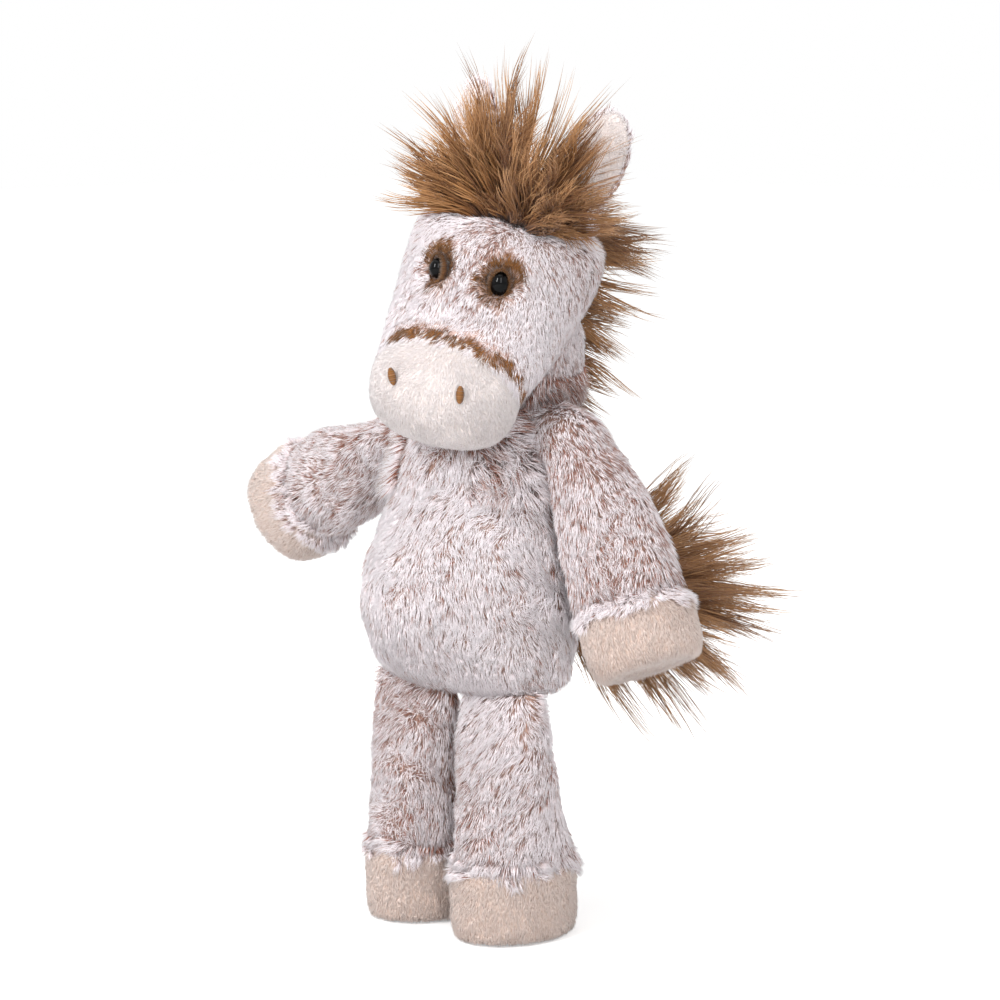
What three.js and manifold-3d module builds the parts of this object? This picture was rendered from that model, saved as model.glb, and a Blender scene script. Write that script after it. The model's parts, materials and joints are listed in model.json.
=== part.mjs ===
// Plush horse that stands upright on its hind legs, about a third of a metre tall.
// Every stuffed piece is a fur-fabric skin, open where it is sewn to the next panel, round its own filling.
// Millimetres, +Z up. The horse faces -Y, so its own left side is +X.

import * as THREE from 'three';
import { mergeVertices } from 'three/addons/utils/BufferGeometryUtils.js';
import Module from 'manifold-3d';

const wasm = await Module();
wasm.setup();

// Driving dimensions

const gap = 0.3; // between pieces that lie against each other
const overrun = 2; // how far a cutting form runs past what it cuts
const weld = 0.001; // corners nearer to each other than this are one corner
const thinnest = 0.002; // no facet of a finished piece is narrower than this
const plush = 4; // thickness of the fur fabric, pile included

const legHeight = 89; // floor to the hip seam's hinge line
const legHalfWidth = 21.2;
const legHalfDepth = 20.5;
const legSpacing = 46; // between the middles of the legs
const legHoofHeight = 29;
const legHoofHalfWidth = 22.2;
const legHoofHalfDepth = 27.5;
const hipSeamRadius = 3; // rounding of the leg's flat top edge, on the hinge line
const hipForward = 7; // the hip seam lies this far in front of the torso's middle
const legLean = 6.5; // the foot stands this far behind the hip seam

const torsoHeight = 76; // underside to the middle of the neck's dome
const torsoHalfWidth = 45.5;
const torsoHalfDepth = 41.5;
const domeRadius = 36; // the round top of the torso that the head turns on
const domeBack = 9; // its middle behind the torso's middle
const neckOpeningRadius = 18; // of the hole in the dome that the stuffing went in by

const armLength = 89; // shoulder pivot to the sole
const armHalfWidth = 21.5;
const armHalfDepth = 19.5;
const armHoofHeight = 27;
const armHoofHalfWidth = 24.5;
const armHoofHalfDepth = 21.5;
const shoulderRadius = 15.5;
const shoulderSpacing = 85;
const shoulderRise = 19; // shoulder pivots above the middle of the neck's dome
const shoulderBack = 15; // and behind the torso's middle

const headHeight = 106; // middle of the neck's dome to the top of the head, along its own middle line
const headHalfWidth = 38;
const headHalfDepth = 36;
const muzzleHalfWidth = 30;
const muzzleHalfDepth = 25;
const muzzleForward = 38; // middle of the muzzle in front of the dome's middle
const muzzleHeight = 40; // middle of the muzzle above the dome's middle
const muzzleHalfHeight = 20.5;
const neckHalfWidth = 25.5; // between the shoulders
const neckHalfDepth = 34;
const napeBack = 7; // the nape's middle behind the dome's
const seamHeight = 67; // the bridle seam's plane crosses the face this far above the dome's middle
const seamForward = 56; // and this far in front of it
const seamSlope = 0.85; // radians that the plane falls towards the back

const eyeRadius = 4.6;
const eyeDome = 3.4;
const eyeSpacing = 24.5;
const eyeHeight = 83;
const eyeTurn = 0.42; // radians that each eye looks outwards
const eyeTilt = 0.1; // radians that each eye looks down
const shankRadius = 1.9;
const shankLength = 11;
const washerRadius = 5.5;
const washerThickness = 1.6;

const nostrilSpacing = 27;
const nostrilHeight = 44;
const nostrilHalfWidth = 1.5;
const nostrilHalfHeight = 3.2;
const nostrilProud = 0.9;
const nostrilLean = 0.15; // radians that the tops lean towards each other

const earHeight = 46;
const earHalfWidth = 13.8;
const earHalfDepth = 5.5;
const earBaseHalfWidth = 7;
const earSpacing = 41;
const earRootRadius = 4.4; // rounding of the ear's sewn base
const earSeat = 104.4; // the ear's hinge line above the dome's middle
const earBack = 2; // and behind the dome's middle
const earSplay = 0.2; // radians outwards
const earFacing = 0.5; // radians that the lining turns outwards
const earFoldBack = 0.7; // radians that an ear folds either way
const earFoldForward = 0.25;
const liningMargin = 2.4; // the lining stops this far inside the ear's edge

const tailLength = 102;
const tailRootRadius = 8;
const tailHeight = 127; // root above the floor
const tailProud = 2.4; // the root's middle stands this far out of the torso
const tailCoreLength = 76;
const tailLockRadius = 6.2;
const tailLocksPerRow = 7;
const tailRowStart = 31; // where the first row of locks leaves the core
const tailRowStep = 5; // each further row leaves it this much nearer to the root
const tailSwing = 0.47; // radians towards the horse's left at rest
const tailDrop = 0.1; // radians that it hangs below level

const forelockLength = 62;
const forelockRadius = 5.6;
const forelockRootHalfWidth = 15;
const forelockForward = 15;
const forelockRise = 1.5; // its root's middle above the top of the head
const forelockLocks = 8; // in each of its two rows
const forelockFan = 1.1; // radians that the outermost locks lean
const forelockSweep = -0.15; // and that all of them lean towards the horse's right

const maneLength = 58;
const maneRadius = 4.5;
const manePairs = 7;
const maneTop = 93; // above the dome's middle
const maneBottom = 36;

// Facets round each kind of form

const formSides = 20;
const hollowSides = 14;
const limbSides = 14;
const seatSides = 16;
const leafSides = 12;
const smallSides = 10;
const lockSides = 3;

// Poses of the soft joints as sewn and set down

const headYaw = 0.39;
const headRoll = 0.21;
const headAside = 6.8; // the head leans this far off the neck, towards the horse's right
const headAhead = 6.5; // and this far forwards
const hangingSpread = 0.44; // an arm that lies against the torso
const leftArmForward = 0.04;
const rightArmSpread = 1.06;
const rightArmForward = 0.07;

// Finishes

function plushMaterial(colour) {
  return new THREE.MeshStandardMaterial({ color: colour, roughness: 0.95, metalness: 0 });
}
const frosted = plushMaterial(0xcdbfba);
const cream = plushMaterial(0xe9e1dc);
const beige = plushMaterial(0xd2bba5);
const chestnut = plushMaterial(0x7d5430);
const fibre = plushMaterial(0xf2f0ea);
const thread = new THREE.MeshStandardMaterial({ color: 0x6b4522, roughness: 0.6, metalness: 0 });
const glossBlack = new THREE.MeshStandardMaterial({ color: 0x0b0b0e, roughness: 0.08, metalness: 0 });
const nylon = new THREE.MeshStandardMaterial({ color: 0xdcdcd6, roughness: 0.5, metalness: 0 });

// Solids

function solidOf(geometry) {
  const bare = geometry.clone();
  bare.deleteAttribute('normal');
  bare.deleteAttribute('uv');
  const merged = mergeVertices(bare, weld);
  return new wasm.Manifold(new wasm.Mesh({
    numProp: 3,
    vertProperties: new Float32Array(merged.getAttribute('position').array),
    triVerts: new Uint32Array(merged.index.array),
  }));
}

// A cut can leave a facet whose corners a, b and c lie almost on one line. Its longest edge, a to b, is
// turned to run from c to d, the far corner of the facet beyond that edge.
function widenFacets(corners, faces) {
  const corner = (i) => new THREE.Vector3().fromArray(corners, 3 * i);
  const key = (a, b) => a * corners.length + b;
  const faceOn = new Map();
  const place = (face, loop) => {
    faces.set(loop, 3 * face);
    loop.forEach((a, i) => faceOn.set(key(a, loop[(i + 1) % 3]), face));
  };
  const cornersOf = (face) => [...faces.subarray(3 * face, 3 * face + 3)];
  for (let face = 0; face < faces.length / 3; face++) {
    place(face, cornersOf(face));
  }
  for (let face = 0; face < faces.length / 3; face++) {
    const loop = cornersOf(face);
    const lengths = loop.map((a, i) => corner(a).distanceTo(corner(loop[(i + 1) % 3])));
    const longest = lengths.indexOf(Math.max(...lengths));
    const area = new THREE.Triangle(...loop.map(corner)).getArea();
    const [a, b, c] = [0, 1, 2].map((step) => loop[(longest + step) % 3]);
    const beyond = faceOn.get(key(b, a));
    const d = cornersOf(beyond).find((other) => other !== a && other !== b);
    if (2 * area < thinnest * lengths[longest] && !faceOn.has(key(c, d)) && !faceOn.has(key(d, c))) {
      faceOn.delete(key(a, b));
      faceOn.delete(key(b, a));
      place(face, [a, d, c]);
      place(beyond, [d, b, c]);
    }
  }
}

function geometryOf(solid) {
  const { vertProperties, triVerts } = solid.getMesh();
  widenFacets(vertProperties, triVerts);
  const geometry = new THREE.BufferGeometry();
  geometry.setAttribute('position', new THREE.BufferAttribute(vertProperties, 3));
  geometry.setIndex(new THREE.BufferAttribute(triVerts, 1));
  geometry.computeVertexNormals();
  return geometry;
}

// A named piece: its one body, without the slivers that a cut along two nearly equal faces can leave.
function part(name, solid, material) {
  const [body] = solid.decompose().sort((a, b) => b.volume() - a.volume());
  const mesh = new THREE.Mesh(geometryOf(body), material);
  mesh.name = name;
  return mesh;
}

function ball(radius, sides) {
  return new THREE.SphereGeometry(radius, sides, Math.round(sides / 2));
}

// A round seat whose flat facets all stay outside a ball of this radius, so that the ball can turn in it.
function roundSeat(radius, sides) {
  return ball(radius / Math.cos(Math.PI / sides) ** 2, sides);
}

// One oval section of a stuffed form: half width, half depth, height and how far back its middle lies.
function station(wide, deep, at, back = 0) {
  return { wide, deep, at, back };
}

// The stations of a round end that another piece turns on, from just above its widest place to its top.
function domeStations(radius, at, back = 0) {
  const turns = [0.02, 0.35, 0.7, 1.05, 1.4];
  return turns.map((turn) =>
    station(radius * Math.cos(turn), radius * Math.cos(turn), at + radius * Math.sin(turn), back));
}

// The closed form through its stations, lowest first, with a flat end on the first and the last.
function loft(stations, sides, rings) {
  const sizes = new THREE.CatmullRomCurve3(
    stations.map((s) => new THREE.Vector3(s.wide, s.deep, s.at)), false, 'catmullrom');
  const spine = new THREE.CatmullRomCurve3(
    stations.map((s) => new THREE.Vector3(0, s.back, s.at)), false, 'catmullrom');
  const points = [];
  const faces = [];
  for (let ring = 0; ring <= rings; ring++) {
    const size = sizes.getPoint(ring / rings);
    const { y: back } = spine.getPoint(ring / rings);
    for (let side = 0; side < sides; side++) {
      const turn = (2 * Math.PI * side) / sides;
      points.push(size.x * Math.cos(turn), size.y * Math.sin(turn) + back, size.z);
    }
  }
  for (let ring = 0; ring < rings; ring++) {
    for (let side = 0; side < sides; side++) {
      const next = (side + 1) % sides;
      const [a, b] = [ring * sides + side, ring * sides + next];
      faces.push(a, b, b + sides, a, b + sides, a + sides);
    }
  }
  const low = points.length / 3;
  points.push(0, stations[0].back, stations[0].at);
  const last = stations[stations.length - 1];
  points.push(0, last.back, last.at);
  for (let side = 0; side < sides; side++) {
    const next = (side + 1) % sides;
    faces.push(low, next, side);
    faces.push(low + 1, rings * sides + side, rings * sides + next);
  }
  const geometry = new THREE.BufferGeometry();
  geometry.setAttribute('position', new THREE.BufferAttribute(new Float32Array(points), 3));
  geometry.setIndex(faces);
  return geometry;
}

// The same stations drawn in on every side, leaving out those too flat to hold anything.
// The top one that is left is also lowered.
function drawnIn(stations, inset, lowered) {
  const kept = stations.filter((s) => Math.min(s.wide, s.deep) > 2 * plush);
  const made = kept.map((s) => station(s.wide - inset, s.deep - inset, s.at, s.back));
  made[made.length - 1].at -= lowered;
  return made;
}

// The stations drawn in all round, lowest and highest ends too.
function inwards(stations, inset) {
  const low = stations[0].at;
  const high = stations[stations.length - 1].at;
  const shrink = (high - low - 2 * inset) / (high - low);
  return stations
    .filter((s) => inset <= 0 || Math.min(s.wide, s.deep) > 2 * plush)
    .map((s) => station(s.wide - inset, s.deep - inset, low + inset + (s.at - low) * shrink, s.back));
}

// The first or last station carried on past its end, so that a space opens there.
function openBelow(stations) {
  const first = stations[0];
  return [station(first.wide, first.deep, first.at - overrun, first.back), ...stations];
}
function openAbove(stations) {
  const last = stations[stations.length - 1];
  return [...stations, station(last.wide, last.deep, last.at + overrun, last.back)];
}

// One limb in its own frame, hanging down -Z from its hinge: sleeve, hoof wall, sole and filling.
// A neighbour that it lies against cuts the skin and, drawn in as far as they are, the spaces inside it.
function limb(side, kind, sleeve, hoof, neighbour) {
  const name = `${side}_${kind}`;
  const seam = hoof[hoof.length - 1];
  const lifted = [station(seam.wide, seam.deep, seam.at + gap, seam.back), ...sleeve];
  const cut = (solid, inset) => (neighbour ? solid.subtract(neighbour(inset)) : solid);
  const sleeveInside = (inset) => openBelow(drawnIn(lifted, inset, inset - plush));
  const inside = (inset) => cut(solidOf(loft(sleeveInside(inset), limbSides, 6)), inset);
  const hollow = (inset) => solidOf(loft(openAbove(openBelow(drawnIn(hoof, inset, 0))), limbSides, 4));

  const sleeveSolid = cut(solidOf(loft(lifted, limbSides, 8)), 0).subtract(inside(plush));
  const wallSolid = solidOf(loft(hoof, limbSides, 4)).subtract(hollow(plush));
  const [edge] = drawnIn(hoof, plush + gap, 0);
  const sole = [edge, station(edge.wide, edge.deep, edge.at + plush, edge.back)];

  const slab = (low, high, grown) => solidOf(loft([
    station(seam.wide + grown, seam.deep + grown, low, seam.back),
    station(seam.wide + grown, seam.deep + grown, high, seam.back),
  ], limbSides, 1));
  const above = inside(plush + gap).subtract(slab(seam.at - 2 * overrun, seam.at + gap, plush));
  const below = hollow(plush + gap).intersect(slab(hoof[0].at + plush + gap, seam.at, plush));
  const through = slab(seam.at - overrun, seam.at + overrun, -plush - overrun);

  const group = new THREE.Group();
  group.add(
    part(`${name}_sleeve`, sleeveSolid, frosted),
    part(`${name}_hoof_wall`, wallSolid, beige),
    part(`${name}_hoof_sole`, solidOf(loft(sole, limbSides, 1)), beige),
    part(`${name}_filling`, above.add(below).add(through), fibre),
  );
  return group;
}

// Legs: a flat sewn top edge that swells into a round shank, then a hoof deeper than it is wide.

const legSleeveShares = [
  // half width, half depth, height above the hinge as a share of the sleeve, backward lean
  [1.06, 1.3, -0.93, 0.95],
  [1.01, 1.13, -0.8, 0.8],
  [0.99, 1.02, -0.62, 0.55],
  [1.0, 0.97, -0.42, 0.36],
  [1.0, 0.86, -0.28, 0.27],
  [1.0, 0.64, -0.18, 0.2],
  [1.0, 0.42, -0.11, 0.13],
];
const hipSeamShares = [
  // half width, then half depth and height above the hinge as shares of the seam's radius
  [0.99, 1, 0],
  [0.97, 0.7, 0.7],
  [0.95, 0.15, 1],
];
const legHoofShares = [
  // half width, half depth, height as a share of the hoof
  [0.93, 0.93, 0],
  [0.99, 0.99, 0.14],
  [1, 1, 0.5],
  [0.985, 0.985, 1],
];

function leg(side) {
  const direction = side === 'left' ? 1 : -1;
  const sleeveLength = legHeight - legHoofHeight;
  const sleeve = [
    ...legSleeveShares.map(([wide, deep, up, lean]) =>
      station(legHalfWidth * wide, legHalfDepth * deep, sleeveLength * up, legLean * lean)),
    ...hipSeamShares.map(([wide, deep, up]) =>
      station(legHalfWidth * wide, hipSeamRadius * deep, hipSeamRadius * up)),
  ];
  const hoof = legHoofShares.map(([wide, deep, up]) =>
    station(legHoofHalfWidth * wide, legHoofHalfDepth * deep, legHoofHeight * up - legHeight, legLean));
  const group = limb(side, 'leg', sleeve, hoof);
  group.position.set(direction * legSpacing / 2, -hipForward, legHeight);
  return group;
}

// Torso: a sack with a full belly, flat enough below to sew the legs to, under the neck's dome.

const torsoUnderside = legHeight + hipSeamRadius + gap;
const domeHeight = torsoUnderside + torsoHeight;

const torsoShares = [
  // half width, half depth, height as a share of the torso, backward shift as a share of its depth
  [0.86, 0.1, 0, -0.17],
  [0.94, 0.44, 0.045, 0],
  [0.98, 0.68, 0.11, 0.03],
  [0.99, 0.88, 0.24, 0.01],
  [1, 1, 0.42, 0],
  [0.95, 0.98, 0.64, 0.04],
  [0.85, 0.92, 0.84, 0.13],
];

function torsoStations() {
  return [
    ...torsoShares.map(([wide, deep, up, back]) =>
      station(torsoHalfWidth * wide, torsoHalfDepth * deep,
        torsoUnderside + torsoHeight * up, torsoHalfDepth * back)),
    ...domeStations(domeRadius, domeHeight, domeBack),
  ];
}

function shoulder(direction) {
  return new THREE.Vector3(direction * shoulderSpacing / 2, shoulderBack, domeHeight + shoulderRise);
}

function tailPivot() {
  const share = (tailHeight - torsoUnderside) / torsoHeight;
  const above = torsoShares.findIndex(([, , up]) => up > share);
  const [low, high] = [torsoShares[above - 1], torsoShares[above]];
  const deep = THREE.MathUtils.mapLinear(share, low[2], high[2], low[1], high[1]);
  return new THREE.Vector3(0, torsoHalfDepth * deep + tailProud, tailHeight);
}

function torso() {
  const stations = torsoStations();
  const stuffed = (inset) => solidOf(loft(inwards(stations, inset), hollowSides, 8));
  const opening = (grown) => {
    const hole = ball(neckOpeningRadius + grown, hollowSides);
    return solidOf(hole.translate(0, domeBack, domeHeight + domeRadius));
  };
  const seat = (radius, { x, y, z }) => solidOf(roundSeat(radius + gap, seatSides).translate(x, y, z));
  const seats = [
    seat(shoulderRadius, shoulder(-1)),
    seat(shoulderRadius, shoulder(1)),
    seat(tailRootRadius, tailPivot()),
  ];
  let skin = solidOf(loft(stations, formSides, 13)).subtract(stuffed(plush)).subtract(opening(0));
  let filling = stuffed(plush + gap).subtract(opening(gap));
  for (const seatSolid of seats) {
    skin = skin.subtract(seatSolid);
    filling = filling.subtract(seatSolid);
  }
  const group = new THREE.Group();
  group.add(part('torso_skin', skin, frosted), part('torso_filling', filling, fibre));
  return group;
}

// Arms: a round shoulder that turns in its seat, a full sleeve and a wide hoof.

const armSleeveShares = [
  // half width, half depth, distance below the shoulder as a share of the sleeve
  [1.12, 1.06, -0.98],
  [1.08, 1.05, -0.85],
  [1.03, 1.04, -0.65],
  [0.97, 1, -0.42],
];
const armHoofShares = [
  // half width, half depth, height as a share of the hoof
  [0.86, 0.84, 0],
  [0.96, 0.95, 0.16],
  [1, 1, 0.5],
  [0.98, 0.98, 1],
];

function armFrame(direction, spread, forward) {
  const turn = new THREE.Euler(-forward, -direction * spread, 0, 'XYZ');
  return new THREE.Matrix4().makeRotationFromEuler(turn).setPosition(shoulder(direction));
}

function arm(side, spread, forward) {
  const direction = side === 'left' ? 1 : -1;
  const sleeveLength = armLength - armHoofHeight;
  const sleeve = [
    ...armSleeveShares.map(([wide, deep, up]) =>
      station(armHalfWidth * wide, armHalfDepth * deep, sleeveLength * up)),
    ...domeStations(shoulderRadius, 0),
  ];
  const hoof = armHoofShares.map(([wide, deep, up]) =>
    station(armHoofHalfWidth * wide, armHoofHalfDepth * deep, armHoofHeight * up - armLength));
  const hanging = armFrame(direction, hangingSpread, forward).invert();
  const body = (inset) => {
    const grown = loft(inwards(torsoStations(), -inset - gap), formSides, 13).applyMatrix4(hanging);
    return solidOf(grown).subtract(solidOf(ball(shoulderRadius - inset, limbSides)));
  };
  const group = limb(side, 'arm', sleeve, hoof, body);
  group.applyMatrix4(armFrame(direction, spread, forward));
  return group;
}

// Head: built in its own frame round the middle of the neck's dome, then turned and tilted as a whole.

const muzzleShares = [
  // half width, half depth, height above the muzzle's middle, backward shift
  [0.4, 0.3, -1, -1],
  [0.72, 0.6, -0.84, -1],
  [0.93, 0.86, -0.5, -1],
  [1, 1, 0, -0.96],
];
const craniumShares = [
  // half width, half depth, height between the muzzle's middle and the top, backward shift of the muzzle's
  [0.88, 0.83, 0.24, -0.6],
  [0.94, 0.93, 0.44, -0.33],
  [0.99, 1, 0.63, -0.12],
  [1, 0.99, 0.78, -0.04],
  [0.94, 0.9, 0.9, 0],
  [0.72, 0.68, 0.975, 0.01],
  [0.25, 0.25, 1, 0.01],
];
const neckShares = [
  // half width and half depth, height as a share of the dome's radius, backward shift as one of the nape's
  [0.96, 0.9, 0.4, 0.1],
  [1, 1, 0.8, 0.4],
  [1.24, 1, 1.2, 0.9],
  [1.29, 0.96, 1.6, 1],
  [1.04, 0.8, 2.1, 0.7],
];

function headStations() {
  return [
    ...muzzleShares.map(([wide, deep, up, back]) =>
      station(muzzleHalfWidth * wide, muzzleHalfDepth * deep,
        muzzleHeight + muzzleHalfHeight * up, muzzleForward * back)),
    ...craniumShares.map(([wide, deep, up, back]) =>
      station(headHalfWidth * wide, headHalfDepth * deep,
        muzzleHeight + (headHeight - muzzleHeight) * up, muzzleForward * back)),
  ];
}

function neckStations() {
  return neckShares.map(([wide, deep, up, back]) =>
    station(neckHalfWidth * wide, neckHalfDepth * deep, domeRadius * up, napeBack * back));
}

// The head is turned, tilted and leant off the upright neck, whose place in the head's frame undoes that.
const headInNeck = new THREE.Matrix4().makeRotationFromEuler(new THREE.Euler(0, headRoll, headYaw, 'ZYX'));
headInNeck.setPosition(-headAside, -headAhead, 0);
const neckInHead = headInNeck.clone().invert();

// The whole head and neck, or with an inset the space inside it.
function headForm(inset) {
  const inside = inset > 0;
  const face = inside
    ? loft(inwards(headStations(), inset), hollowSides, 9)
    : loft(headStations(), formSides, 13);
  const neck = inside
    ? loft(drawnIn(neckStations(), inset, inset), hollowSides, 3)
    : loft(neckStations(), formSides, 5);
  return solidOf(face).add(solidOf(neck.applyMatrix4(neckInHead)));
}

// How far back the head's surface lies at a place on its front.
function faceFront(x, z) {
  const stations = headStations();
  const above = stations.findIndex((s) => s.at > z);
  const [low, high] = [stations[above - 1], stations[above]];
  const share = (z - low.at) / (high.at - low.at);
  const wide = THREE.MathUtils.lerp(low.wide, high.wide, share);
  const deep = THREE.MathUtils.lerp(low.deep, high.deep, share);
  const back = THREE.MathUtils.lerp(low.back, high.back, share);
  return back - deep * Math.sqrt(1 - (x / wide) ** 2);
}

// Everything below the bridle seam's plane, which is where the muzzle's panel lies.
function belowSeam(shift) {
  const size = 2 * headHeight;
  const half = new THREE.BoxGeometry(size, size, size).translate(0, 0, shift - size / 2);
  return solidOf(half.rotateX(-seamSlope).translate(0, -seamForward, seamHeight));
}

// A safety eye looks along -Y in its own frame: a dome on a shank that a washer locks behind the skin.
function eye(direction) {
  const x = direction * eyeSpacing / 2;
  const turn = new THREE.Euler(eyeTilt, 0, direction * eyeTurn, 'ZYX');
  const matrix = new THREE.Matrix4().makeRotationFromEuler(turn);
  matrix.setPosition(x, faceFront(x, eyeHeight) + plush / 2, eyeHeight);
  const pose = (geometry) => solidOf(geometry.rotateX(Math.PI).applyMatrix4(matrix));
  const dome = [0, 0.4, 0.8, 1.2].map((up) =>
    new THREE.Vector2(eyeRadius * Math.cos(up), eyeDome * Math.sin(up)));
  const profile = [
    new THREE.Vector2(0, -shankLength),
    new THREE.Vector2(shankRadius, -shankLength),
    new THREE.Vector2(shankRadius, 0),
    ...dome,
    new THREE.Vector2(0, eyeDome),
  ];
  const washerLow = -plush - washerThickness;
  const cylinder = (radius, low, high) => {
    const made = new THREE.CylinderGeometry(radius, radius, high - low, smallSides);
    return pose(made.translate(0, (low + high) / 2, 0));
  };
  const hole = cylinder(shankRadius + gap, -shankLength - gap, overrun);
  return {
    button: pose(new THREE.LatheGeometry(profile, smallSides)),
    washer: cylinder(washerRadius, washerLow, -plush).subtract(hole),
    seat: cylinder(eyeRadius + gap, -gap, 3 * plush).add(hole),
    pocket: cylinder(washerRadius + gap, washerLow - gap, plush).add(hole),
  };
}

// A nostril is a small lens of satin stitches, half sunk into its bed in the muzzle.
function nostril(direction, grown) {
  const x = direction * nostrilSpacing / 2;
  const stitches = ball(1, smallSides);
  stitches.rotateX(Math.PI / 2);
  stitches.scale(nostrilHalfWidth + grown, nostrilProud + grown, nostrilHalfHeight + grown);
  stitches.rotateY(direction * nostrilLean);
  return solidOf(stitches.translate(x, faceFront(x, nostrilHeight), nostrilHeight));
}

function head() {
  const group = new THREE.Group();
  const dome = solidOf(roundSeat(domeRadius + gap, formSides).applyMatrix4(neckInHead));
  const outside = headForm(0).subtract(dome);
  const whole = outside.subtract(headForm(plush));
  let filling = headForm(plush + gap).subtract(dome);
  let skin = whole.subtract(belowSeam(gap));
  let muzzle = whole.intersect(belowSeam(0));
  for (const direction of [-1, 1]) {
    const side = direction > 0 ? 'left' : 'right';
    const { button, washer, seat, pocket } = eye(direction);
    const earSeatSolid = earRoot(direction, gap);
    skin = skin.subtract(seat).subtract(pocket).subtract(earSeatSolid);
    filling = filling.subtract(pocket).subtract(earSeatSolid);
    muzzle = muzzle.subtract(nostril(direction, gap));
    group.add(
      part(`${side}_eye`, button, glossBlack),
      part(`${side}_eye_washer`, washer, nylon),
      part(`${side}_nostril_stitching`, nostril(direction, 0), thread),
      ear(side, direction, outside),
    );
  }
  group.add(
    part('head_skin', skin, frosted),
    part('muzzle_skin', muzzle, cream),
    part('head_filling', filling, fibre),
    part('forelock', forelock(outside), chestnut),
    part('neck_mane', neckMane(outside), chestnut),
  );
  group.applyMatrix4(headInNeck);
  group.position.add(new THREE.Vector3(0, domeBack, domeHeight));
  return group;
}

// Ears: a leaf of fur fabric with a smooth lining on its front, sewn on along its narrow base.

const earShares = [
  // half width, half depth, height
  [0.5, 0.7, 0],
  [0.78, 0.92, 0.2],
  [0.97, 1, 0.44],
  [1, 0.95, 0.64],
  [0.83, 0.8, 0.84],
  [0.5, 0.55, 0.96],
  [0.2, 0.25, 1],
];
const liningDepthShare = 0.75; // of the leaf's own depth

function earFrame(direction) {
  const turn = new THREE.Euler(0, direction * earSplay, direction * earFacing, 'ZYX');
  const frame = new THREE.Matrix4().makeRotationFromEuler(turn);
  return frame.setPosition(direction * earSpacing / 2, earBack, earSeat);
}

function earRoot(direction, grown) {
  const root = new THREE.CapsuleGeometry(earRootRadius + grown, 2 * earBaseHalfWidth, 3, smallSides);
  return solidOf(root.rotateZ(Math.PI / 2).applyMatrix4(earFrame(direction)));
}

// Where the leaf stands on the head, the head cuts it as it lies folded back, upright and folded forwards.
function ear(side, direction, headOutside) {
  const leafStations = earShares.map(([wide, deep, up]) =>
    station(earHalfWidth * wide, earHalfDepth * deep, earHeight * up));
  const liningStations = leafStations.map((s) =>
    station(Math.max(s.wide - liningMargin, s.wide / 2), s.deep * liningDepthShare, s.at));
  const slab = (front, back, low) => {
    const size = 3 * earHeight;
    const box = new THREE.BoxGeometry(size, back - front, size);
    return solidOf(box.translate(0, (front + back) / 2, low + size / 2));
  };
  const toEar = earFrame(direction).invert();
  let leaf = solidOf(loft(leafStations, leafSides, 6)).intersect(slab(0, earHalfDepth, 0));
  for (const fold of [earFoldBack, 0, -earFoldForward]) {
    const lying = geometryOf(headOutside).applyMatrix4(toEar).rotateX(fold);
    leaf = leaf.subtract(solidOf(lying));
  }
  const front = slab(-earHalfDepth, -gap, earHalfDepth);
  const lining = solidOf(loft(liningStations, leafSides, 5)).intersect(front);
  const root = earRoot(direction, 0).transform(toEar.elements);
  const group = new THREE.Group();
  group.add(
    part(`${side}_ear_back`, leaf.add(root), frosted),
    part(`${side}_ear_lining`, lining, cream),
  );
  group.applyMatrix4(earFrame(direction));
  return group;
}

// Long pile: tapered locks that fan out of a sewn root.

const lockShares = [
  // thickness and place along the lock
  [0.75, 0],
  [1, 0.35],
  [0.08, 1],
];
const lengthSpread = 0.28; // the shortest lock of a tuft is shorter than the longest by this share
const lengthTurn = 2.4; // radians of the wave that lengths follow from one lock to the next

function uneven(index) {
  return 1 - lengthSpread * (1 + Math.cos(lengthTurn * index)) / 2;
}

// A lock leaves its root along a direction, swells a little and then thins to a point as it sags.
function lock(root, direction, length, radius, sag) {
  const profile = lockShares.map(([thick, along]) => new THREE.Vector2(radius * thick, length * along));
  const ends = [new THREE.Vector2(0, 0), new THREE.Vector2(0, length)];
  const cone = new THREE.LatheGeometry([ends[0], ...profile, ends[1]], lockSides);
  const along = new THREE.Vector3(0, 1, 0);
  const turn = new THREE.Quaternion().setFromUnitVectors(along, direction.clone().normalize());
  const position = cone.getAttribute('position');
  const point = new THREE.Vector3();
  for (let i = 0; i < position.count; i++) {
    point.fromBufferAttribute(position, i);
    const drop = sag * (point.y / length) ** 2;
    point.applyQuaternion(turn).add(root);
    position.setXYZ(i, point.x, point.y, point.z - drop);
  }
  return solidOf(cone);
}

const forelockLean = [0.05, 0.45]; // how far each row leans forwards, against one upwards
const forelockEndShare = 0.7; // length of the outermost locks against the middle ones

function forelock(headOutside) {
  const height = headHeight + forelockRise;
  const root = new THREE.CapsuleGeometry(forelockRadius, 2 * forelockRootHalfWidth, 3, smallSides);
  let tuft = solidOf(root.rotateZ(Math.PI / 2).translate(0, -forelockForward, height));
  forelockLean.forEach((lean, row) => {
    for (let i = 0; i < forelockLocks; i++) {
      const across = (2 * i + row + 1) / forelockLocks - 1;
      const fan = across * forelockFan + forelockSweep;
      const direction = new THREE.Vector3(Math.sin(fan), -lean, Math.cos(fan));
      const start = new THREE.Vector3(across * forelockRootHalfWidth, -forelockForward, height);
      const reach = THREE.MathUtils.lerp(1, forelockEndShare, Math.abs(across));
      const length = forelockLength * reach * uneven(2 * i + row);
      tuft = tuft.add(lock(start, direction, length, forelockRadius, forelockRadius * row));
    }
  });
  return tuft.subtract(headOutside);
}

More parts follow.
